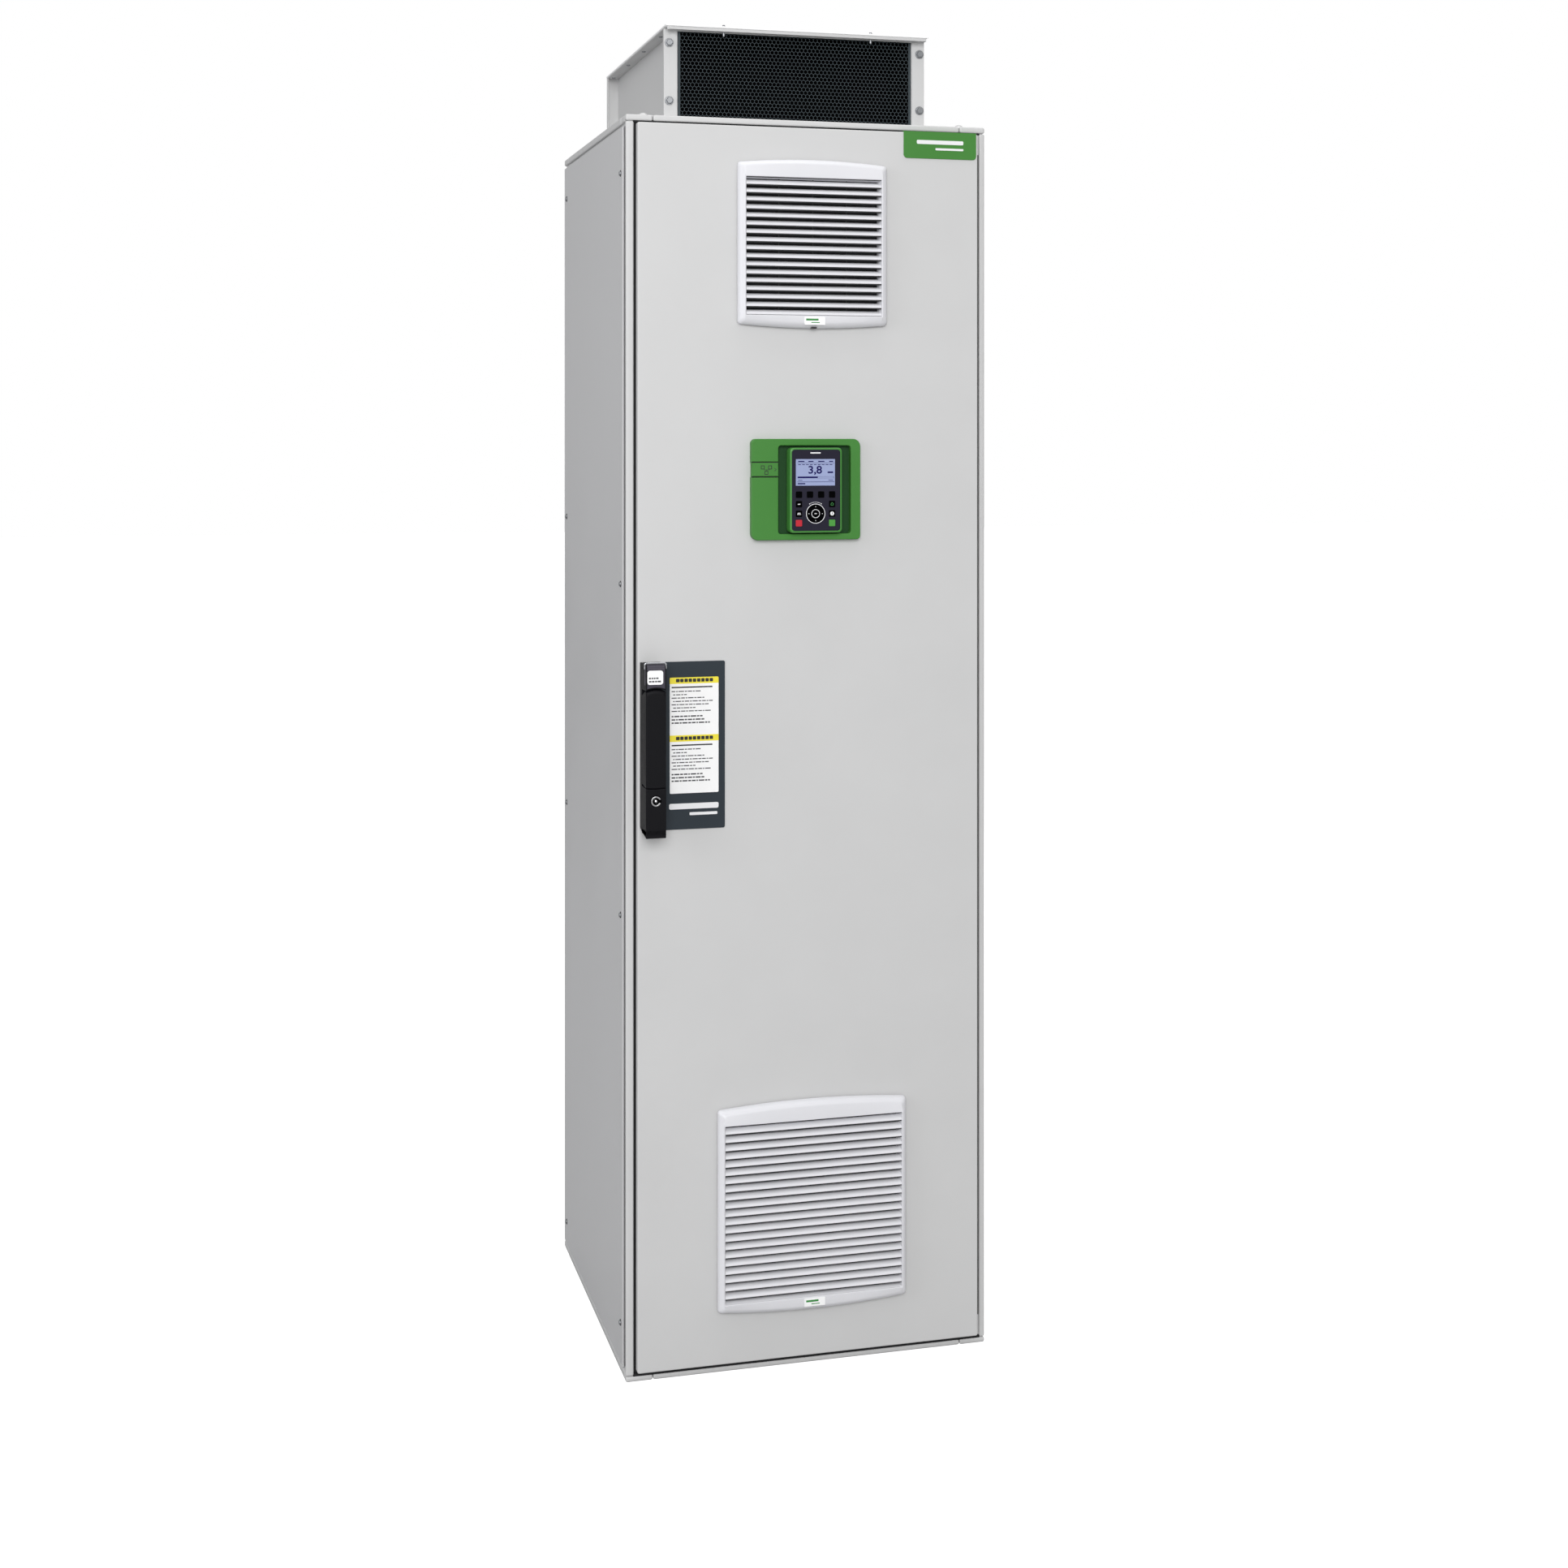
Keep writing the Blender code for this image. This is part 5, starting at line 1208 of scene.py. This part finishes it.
def terminal_case():
    """Rounded green case with a slightly sunken dark face."""
    low, high = CASE_LOW, CASE_HIGH
    case = Piece("terminal_shell", "terminal_green", "terminal")
    rings = []

    def ring(inset, y, corner):
        return ring_at(low.x + inset, high.x - inset, low.z + inset, high.z - inset, corner, y, 7)

    rings.append(ring(0.0016, high.y, 0.0050))
    rings.append(ring(0.0004, high.y - 0.0016, 0.0062))
    rings.append(ring(0.0000, high.y - 0.0050, 0.0066))
    for step in range(7):
        angle = math.radians(90 * step / 6)
        size = 0.0022
        rings.append(ring(size * (1 - math.cos(angle)), low.y + size * (1 - math.sin(angle)), 0.0062))
    rings.append(ring(0.0030, low.y, 0.0050))
    rings.append(ring(0.0030, low.y + 0.0012, 0.0050))
    case.loft(rings)
    case.done("terminal_case")
    face = Piece("terminal_face_plate", "terminal_face", "terminal")
    loops = [rounded(low.x + 0.0032, high.x - 0.0032, low.z + 0.0032, high.z - 0.0032, 0.0048)]
    loops.append(rectangle(SCREEN_LOW.x, SCREEN_HIGH.x, SCREEN_LOW.z, SCREEN_HIGH.z))
    button_middle = (OK_LOW + OK_HIGH) / 2
    loops.append(circle((button_middle.x, button_middle.z), OK_HIGH.x - button_middle.x + 0.0003, 48))
    face.plate(loops, "XZ", low.y + 0.0001, low.y + 0.0016, 0.00015, 1)
    face.done()
    badge = Piece("terminal_badge_bar", "white_print", "terminal")
    middle = (SCREEN_LOW.x + SCREEN_HIGH.x) / 2
    badge.mark([rounded(*about(middle, 0.0085), 1.4642, 1.4662, 0.0009)], low.y, 0, 0.0004, 0.00004)
    badge.done()


KEYS = (
    "key_f1", "key_f2", "key_f3", "key_f4", "key_escape", "key_local_remote", "key_home", "key_info",
    "key_stop", "key_run",
)
ARROW_TURN = math.degrees(2.3)  # from an arrowhead's tip to its two other corners


def terminal_keys():
    """Rounded keys; their marks are plain bars, a house and a dot."""
    for name in KEYS:
        low, high = box_of(name)
        body = name + "_body"
        finish = {"key_stop": "key_red", "key_run": "key_green"}.get(name, "key_black")
        key = Piece(name + "_cap", finish, body)
        key.plate([rounded(low.x, high.x, low.z, high.z, 0.0014)], "XZ", low.y + 0.0004, high.y, 0.0004, 3)
        key.done(name)
        middle = (low + high) / 2
        x, z = middle.x, middle.z
        shapes = {
            "key_escape": [[rectangle(*about(x, 0.0020), *about(z, 0.0006))]],
            "key_local_remote": [[rectangle(*about(x, 0.0024), z + 0.0004, z + 0.0014)],
                                 [rectangle(*about(x, 0.0030), z - 0.0016, z - 0.0006)]],
            "key_info": [[circle((x, z), 0.0032, 28), rectangle(*about(x, 0.0004), *about(z, 0.0019))]],
            "key_home": [
                [house(x, z, 0.0023, -0.0022, 0.0006, 0.0026), house(x, z, 0.0016, -0.0015, 0.0003, 0.0017)]
            ],
        }
        if name in shapes:
            ink = "print_green" if name == "key_home" else "white_print"
            prints(name + "_mark", ink, body, low.y + 0.0004, shapes[name])


def house(x, z, half, base, eaves, ridge):
    """Outline of a plain house around a point."""
    return [
        (x - half, z + base), (x + half, z + base), (x + half, z + eaves), (x, z + ridge),
        (x - half, z + eaves)
    ]


def terminal_wheel():
    """Navigation ring with four arrowheads around a button, and the curved mark above it."""
    centre = (WHEEL_LOW + WHEEL_HIGH) / 2
    spot = (centre.x, centre.z)
    outer = WHEEL_HIGH.x - centre.x
    hole = OK_HIGH.x - centre.x
    face = WHEEL_LOW.y + 0.0003
    wheel = Piece("nav_wheel_disc", "key_black", "wheel")
    rims = [circle(spot, outer - 0.0001, 64), circle(spot, hole + 0.0003, 48)]
    wheel.plate(rims, "XZ", face, WHEEL_HIGH.y, 0.0004, 3).done("nav_wheel")
    marks = Piece("nav_wheel_marks", "white_print", "wheel")
    marks.mark(
        [circle(spot, outer - 0.0002, 64), circle(spot, outer - 0.0011, 64)], face, 0.0001, 0.0008, 0.00003
    )
    for angle in range(0, 360, 90):
        tip = polar(spot, 0.0112, angle)
        marks.mark([[polar(tip, 0.0010, angle + turn) for turn in (0, ARROW_TURN, -ARROW_TURN)]],
                   face, 0.0001, 0.0002, 0.00003)
    marks.done()
    button = Piece("ok_button_cap", "key_black", "ok")
    cap = [(0, -0.0035), (hole, -0.0035), (hole, -0.0007), (hole - 0.0004, -0.0004), (0, -0.0003)]
    button.turned(cap, (centre.x, WHEEL_LOW.y, centre.z), "-Y", 40).done("ok_button")
    band = [circle(spot, hole - 0.0001, 48), circle(spot, hole - 0.0009, 48)]
    bar = rectangle(*about(spot[0], 0.0019), *about(spot[1], 0.0006))
    prints("ok_button_ring", "white_print", "ok", WHEEL_LOW.y + 0.0002, [band, [bar]])
    sweep = [[arc(spot, 0.0186, 62, 118, 14) + arc(spot, 0.0181, 118, 62, 14)]]
    sweep += [[circle(polar(spot, 0.0184, angle), 0.0008, 12)] for angle in (58, 122)]
    prints(
        "wheel_turn_mark", "white_print", "terminal", CASE_LOW.y + 0.0001, sweep, 0.0001, 0.0002, 0.00002
    )


def number(name, text, place, height, finish, body):
    """Generic digits on the display, a little wider than the plain letters."""
    data = bpy.data.curves.new(name, "FONT")
    data.body = text
    data.size = height
    data.extrude = 0.00004
    data.offset = height * 0.022
    data.align_x = "CENTER"
    made = bpy.data.objects.new("digits", data)
    bpy.context.scene.collection.objects.link(made)
    evaluated = made.evaluated_get(bpy.context.evaluated_depsgraph_get())
    mesh = bpy.data.meshes.new_from_object(evaluated)
    bpy.data.objects.remove(made)
    piece = Piece(name, finish, body)
    shape = bmesh.new()
    shape.from_mesh(mesh)
    bmesh.ops.remove_doubles(shape, verts=shape.verts, dist=1e-6)
    wide = Matrix.Scale(1.13, 4, (1, 0, 0))
    bmesh.ops.transform(shape, matrix=Matrix.Translation(place) @ PLANES["XZ"] @ wide, verts=shape.verts)
    return piece.take(shape).done()


def screen():
    """Display glass with plain bars and digits."""
    low, high = SCREEN_LOW, SCREEN_HIGH
    Piece("display_window", "screen_glass", "terminal").box(
        (low.x, high.x), (low.y, high.y), (low.z, high.z), 0.0003
    ).done("lcd_screen")
    face = low.y
    width = high.x - low.x
    height = high.z - low.z

    def bar(ink, left, right, base, top):
        """A bar given in shares of the display's width and height."""
        across = (low.x + width * left, low.x + width * right)
        shape = rectangle(*across, low.z + height * base, low.z + height * top)
        ink.mark([shape], face, 0.0001, 0.0002, 0.00003)

    ink = Piece("display_bars", "screen_ink", "terminal")
    bar(ink, 0.04, 0.98, 0.845, 0.855)
    for left, right in ((0.06, 0.22), (0.32, 0.45), (0.57, 0.73), (0.85, 0.95)):
        bar(ink, left, right, 0.89, 0.93)
    for index in range(9):
        bar(ink, 0.06 + 0.10 * index, 0.13 + 0.10 * index, 0.775, 0.800)
    bar(ink, 0.05, 0.56, 0.280, 0.345)
    bar(ink, 0.56, 0.97, 0.338, 0.345)
    bar(ink, 0.56, 0.97, 0.280, 0.287)
    bar(ink, 0.962, 0.97, 0.280, 0.345)
    bar(ink, 0.81, 0.95, 0.47, 0.53)
    bar(ink, 0.06, 0.17, 0.195, 0.215)
    bar(ink, 0.83, 0.95, 0.195, 0.215)
    bar(ink, 0.04, 0.98, 0.135, 0.150)
    bar(ink, 0.05, 0.24, 0.055, 0.100)
    ink.done()
    place = (low.x + width * 0.49, face - 0.00004, low.z + height * 0.46)
    number("display_digits", "3,8", place, height * 0.40, "screen_ink", "terminal")


# ---- inside the cabinet ----------------------------------------------------------------------------
KEPT = {
    "gland_plate": "zinc_steel", "mounting_plate": "zinc_steel", "drive_module_case": "case_steel",
    "heatsink": "heatsink_alloy", "capacitor_bank": "capacitor_sleeve", "line_reactor": "core_steel",
    "fan_housing": "fan_plastic", "power_terminal_block": "terminal_resin", "control_block": "terminal_resin",
    "hinge_bracket_lower": "zinc_steel", "hinge_bracket_upper": "zinc_steel", "fan_rotor": "fan_plastic",
    "door_gasket": "gasket_rubber", "hinge_knuckle_lower": "zinc_steel", "hinge_knuckle_upper": "zinc_steel",
    "lock_gearbox": "zinc_steel", "upper_filter_mat": "filter_fibre", "lower_filter_mat": "filter_fibre",
    "handle_spindle": "zinc_steel", "upper_lock_rod": "zinc_steel", "lower_lock_rod": "zinc_steel",
}


def module_details():
    """Vents, cover seams, screws, a label and a status lamp on the drive module's case."""
    low, high = box_of("drive_module_case")
    face = low.y
    # Vent slots drawn as near-black patches on the case: painted shade, not openings.
    vents = Piece("module_vents", "black_lining_and_hole_shade")
    for row in range(9):
        for column in range(3):
            x = low.x + 0.030 + (high.x - low.x - 0.060) * column / 3
            z = high.z - 0.040 - 0.011 * row
            wide = (high.x - low.x - 0.060) / 3 - 0.012
            vents.box((x + 0.006, x + 0.006 + wide), about(face, 0.0004), (z, z + 0.0045), 0.0003)
    for row in range(5):
        z = low.z + 0.022 + 0.011 * row
        vents.box((low.x + 0.040, high.x - 0.040), about(face, 0.0004), (z, z + 0.0045), 0.0003)
    vents.done()
    seams = Piece("module_cover_seams", "gasket_rubber")
    for z in (high.z - 0.165, low.z + 0.105):
        seams.box((low.x + 0.001, high.x - 0.001), (face - 0.0003, face + 0.0004), (z, z + 0.0016), 0.0)
    seams.done()
    for index, (x, z) in enumerate((
        (low.x + 0.013, high.z - 0.014), (high.x - 0.013, high.z - 0.014), (low.x + 0.013, low.z + 0.014),
        (high.x - 0.013, low.z + 0.014), (low.x + 0.013, high.z - 0.180), (high.x - 0.013, high.z - 0.180),
    )):
        pan_screw(f"module_screw_{index}", (x, face, z), "-Y", 0.0042)
    card = Piece("module_label", "paper_white")
    right = low.x + 0.105
    top = high.z - 0.195
    card.box((low.x + 0.030, right), about(face, 0.0004), (top - 0.070, top), 0.0002)
    card.done()
    rows = Piece("module_label_bars", "print_grey")
    for row in range(7):
        z = top - 0.010 - 0.008 * row
        end = right - 0.008 - 0.013 * (row * 5 % 3)
        rows.box((low.x + 0.036, end), (face - 0.0006, face - 0.0002), about(z, 0.0012), 0.0)
    rows.done()
    lamp = Piece("module_status_lamp", "key_green")
    profile = [(0, -0.001), (0.0035, -0.001), (0.0035, 0.0008), (0.0022, 0.0020), (0, 0.0024)]
    lamp.turned(profile, (high.x - 0.035, face, top - 0.010), "-Y", 24)
    lamp.done()


def ducts_and_rail():
    """Slotted wiring duct across the mounting plate, and the rail below it."""
    plate_low, plate_high = box_of("mounting_plate")
    face = plate_low.y
    block_low, block_high = box_of("power_terminal_block")
    left = plate_low.x + 0.012
    right = plate_high.x - 0.012
    base = (block_high.z + box_of("drive_module_case")[0].z) / 2 - 0.018
    duct = Piece("wiring_ducts", "duct_grey")
    duct.box((left, right), (face - 0.058, face - 0.0004), (base, base + 0.036), 0.0012)
    duct.box(
        (left - 0.0006, right + 0.0006), (face - 0.0600, face - 0.0570), (base + 0.0025, base + 0.0335),
        0.0010
    )
    duct.done()
    # Duct slots drawn as near-black boxes: painted shade in the slots.
    slots = Piece("wiring_duct_slots", "black_lining_and_hole_shade")
    count = 34
    for index in range(count):
        x = left + 0.012 + (right - left - 0.024) * index / (count - 1)
        for z in (base + 0.0359, base - 0.0001):
            slots.box(about(x, 0.002), (face - 0.050, face - 0.012), (z - 0.0003, z + 0.0005), 0.0)
    slots.done()
    rail_z = (box_of("line_reactor")[1].z + block_low.z) / 2
    rail = Piece("device_rail", "zinc_steel")
    run = (left + 0.03, right - 0.03)
    rail.box(run, (face - 0.0075, face - 0.0065), about(rail_z, 0.0175), 0.0003)
    rail.box(run, (face - 0.0070, face - 0.0004), about(rail_z, 0.0125), 0.0003)
    rail.done()
    rail_devices(left + 0.055, face, rail_z)


def rail_devices(start, face, rail_z):
    """A row of small devices on the rail, each with a toggle and two terminal screws."""
    boxes = Piece("rail_devices", "device_grey")
    fronts = Piece("rail_device_fronts", "case_steel")
    toggles = Piece("rail_device_toggles", "key_black")
    screw = [(0, -0.001), (0.0034, -0.001), (0.0034, 0.0003), (0, 0.0003)]
    for wide in (0.018, 0.018, 0.018, 0.036, 0.0225, 0.0225):
        end = start + wide - 0.0006
        middle = (start + end) / 2
        boxes.box((start, end), (face - 0.066, face - 0.0075), about(rail_z, 0.042), 0.0012)
        fronts.box(
            (start + 0.001, end - 0.001), (face - 0.0735, face - 0.0655), about(rail_z, 0.0225), 0.0012
        )
        toggles.box(
            about(middle, 0.003), (face - 0.0785, face - 0.0730), (rail_z - 0.004, rail_z + 0.010), 0.0008
        )
        for z in about(rail_z, 0.034):
            toggles.turned(screw, (middle, face - 0.066, z), "-Y", 18)
        start += wide
    for piece in (boxes, fronts, toggles):
        piece.done()


def bend(points, steps=6):
    """Round the corners of a cable's path."""
    points = [Vector(point) for point in points]
    path = [points[0]]
    for before, corner, after in zip(points, points[1:], points[2:]):
        start = corner.lerp(before, min(0.45, 0.05 / (before - corner).length))
        end = corner.lerp(after, min(0.45, 0.05 / (after - corner).length))
        for step in range(steps + 1):
            share = step / steps
            path.append(start.lerp(corner, share).lerp(corner.lerp(end, share), share))
    path.append(points[-1])
    return path


def cables():
    """Power cables from the terminal block down to the gland plate, and up to the module."""
    block_low, block_high = box_of("power_terminal_block")
    module_low, _ = box_of("drive_module_case")
    _, gland_high = box_of("gland_plate")
    reactor_low, _ = box_of("line_reactor")
    cable = Piece("power_cables", "cable_black")
    lugs = Piece("cable_lugs", "zinc_steel")
    glands = Piece("cable_glands", "case_steel")
    front = block_low.y - 0.010
    ahead = reactor_low.y - 0.035
    for index in range(3):
        share = (index + 0.75) / 3.5
        x = block_low.x + (block_high.x - block_low.x) * share
        start = (x, front, block_low.z + 0.012)
        floor = gland_high.z
        path = bend(
            [start, (x, ahead, block_low.z - 0.060), (x, ahead, floor + 0.120), (x, ahead, floor - 0.001)]
        )
        cable.tube(path, 0.0075, 16)
        lugs.box(
            about(x, 0.007), (front - 0.003, front + 0.011), (block_low.z + 0.006, block_low.z + 0.022),
            0.0010
        )
        ring = [
            (0, 0.0), (0.016, 0.0), (0.016, 0.010), (0.0135, 0.012), (0.0125, 0.024), (0.0095, 0.030),
            (0, 0.030)
        ]
        glands.turned(ring, (x, ahead, floor), "Z", 6)
        upper = (x + 0.020, front + 0.010, block_high.z - 0.004)
        above = (x + 0.020, front + 0.006, block_high.z + 0.030)
        module = (x + 0.020, module_low.y + 0.060, module_low.z + 0.002)
        cable.tube(bend([upper, above, module]), 0.0062, 14)
    cable.done()
    lugs.done()
    glands.done(sharp=30)


def door_back():
    """Stiffening strips with rows of holes, behind the door."""
    back = DOOR_HIGH.y
    inner = DOOR_FACE + 0.0021
    strip = Piece("door_stiffeners", "cabinet_paint", "door")
    # The stiffeners' holes are near-black patches: painted shade, not openings.
    holes = Piece("door_stiffener_holes", "black_lining_and_hole_shade", "door")
    for x in (DOOR_LOW.x + 0.066, DOOR_HIGH.x - 0.050):
        strip.box(about(x, 0.011), (inner - 0.0002, back - 0.0004), (0.150, 1.850), 0.0012)
        for index in range(56):
            z = 0.175 + 0.030 * index
            holes.box(about(x, 0.0036), (back - 0.0008, back - 0.0001), (z, z + 0.011), 0.0003)
    strip.done()
    holes.done()


def finish_kept_nodes():
    """Give the CAD nodes that stay in the picture their finish."""
    for node, finish in KEPT.items():
        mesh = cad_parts[node].data
        for index in range(len(mesh.materials)):
            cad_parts[node].material_slots[index].material = MATERIALS[finish]


# ---- camera, lights and floor ----------------------------------------------------------------------
LIGHTS = (                      # name, place, size, power, tint, target
    ("key", (-1.4, -6.0, 3.0), 2.8, 222.0, (1.0, 1.0, 1.0), (0.0, -0.2, 0.7)),
    ("left", (-4.4, -1.8, 2.4), 2.2, 44.0, (0.94, 0.96, 1.0), (-0.2, 0.0, 0.9)),
    ("top", (0.0, -0.6, 5.0), 2.0, 36.0, (1.0, 1.0, 1.0), (0.0, 0.0, 1.0)),
    ("back", (1.5, 4.0, 3.0), 2.4, 100.0, (1.0, 1.0, 1.0), (0.0, 0.0, 1.0)),
)


def stage():
    """Camera fitted to the photo, white floor, lights and world."""
    scene = bpy.context.scene
    scene.view_settings.view_transform = "Standard"
    data = bpy.data.cameras.new("camera")
    data.lens = 49.81
    data.sensor_width = 36.0
    data.shift_y = -0.2215
    camera = bpy.data.objects.new("camera", data)
    camera.location = (-0.944, FRONT - 3.366, 1.491)
    camera.rotation_euler = (math.radians(90), 0.0, math.radians(-15))
    scene.collection.objects.link(camera)
    scene.camera = camera
    studio_floor(scene)
    for name, place, size, power, tint, target in LIGHTS:
        light = bpy.data.lights.new(name, "AREA")
        light.size = size
        light.energy = power
        light.color = tint
        lamp = bpy.data.objects.new(name, light)
        lamp.location = place
        lamp.rotation_euler = (Vector(target) - Vector(place)).to_track_quat("-Z", "Y").to_euler()
        scene.collection.objects.link(lamp)
    studio_world(scene)


def studio_floor(scene):
    """A large floor that the camera sees as plain white and that lights nothing."""
    mesh = bpy.data.meshes.new("studio_floor")
    shape = bmesh.new()
    bmesh.ops.create_grid(shape, x_segments=1, y_segments=1, size=30.0)
    shape.to_mesh(mesh)
    shape.free()
    white = surface((170, 170, 170), 0.9, bump=0.0, mottle=0.0, specular=0.1)
    white.name = "floor_white"
    tree = white.node_tree
    seen = tree.nodes.new("ShaderNodeLightPath")
    shader = tree.nodes["Principled BSDF"]
    shader.inputs["Emission Color"].default_value = (1.0, 1.0, 1.0, 1.0)
    tree.links.new(seen.outputs["Is Camera Ray"], shader.inputs["Emission Strength"])
    mesh.materials.append(white)
    floor = bpy.data.objects.new("studio_floor", mesh)
    scene.collection.objects.link(floor)


def studio_world(scene):
    """White surroundings, dimmer as a light than the camera sees them."""
    world = bpy.data.worlds.new("studio")
    world.use_nodes = True
    tree = world.node_tree
    background = tree.nodes["Background"]
    background.inputs["Color"].default_value = (1.0, 1.0, 1.0, 1.0)
    seen = tree.nodes.new("ShaderNodeLightPath")
    strength = tree.nodes.new("ShaderNodeMapRange")
    strength.inputs["To Min"].default_value = 0.50
    strength.inputs["To Max"].default_value = 1.0
    tree.links.new(seen.outputs["Is Camera Ray"], strength.inputs["Value"])
    tree.links.new(strength.outputs["Result"], background.inputs["Strength"])
    scene.world = world


def main():
    corner_castings()
    rails()
    uprights()
    door_channel_shadows()
    side_panels()
    rear_panel()
    roof()
    hood_shell()
    hood_roof()
    hood_mesh()
    door_skin()
    corner_badge()
    label_plate()
    for level in GRILLES:
        grille_cover(level)
    handle()
    lever()
    lock()
    terminal_holder()
    terminal_case()
    terminal_keys()
    terminal_wheel()
    screen()
    module_details()
    ducts_and_rail()
    cables()
    door_back()
    finish_kept_nodes()
    stage()


main()
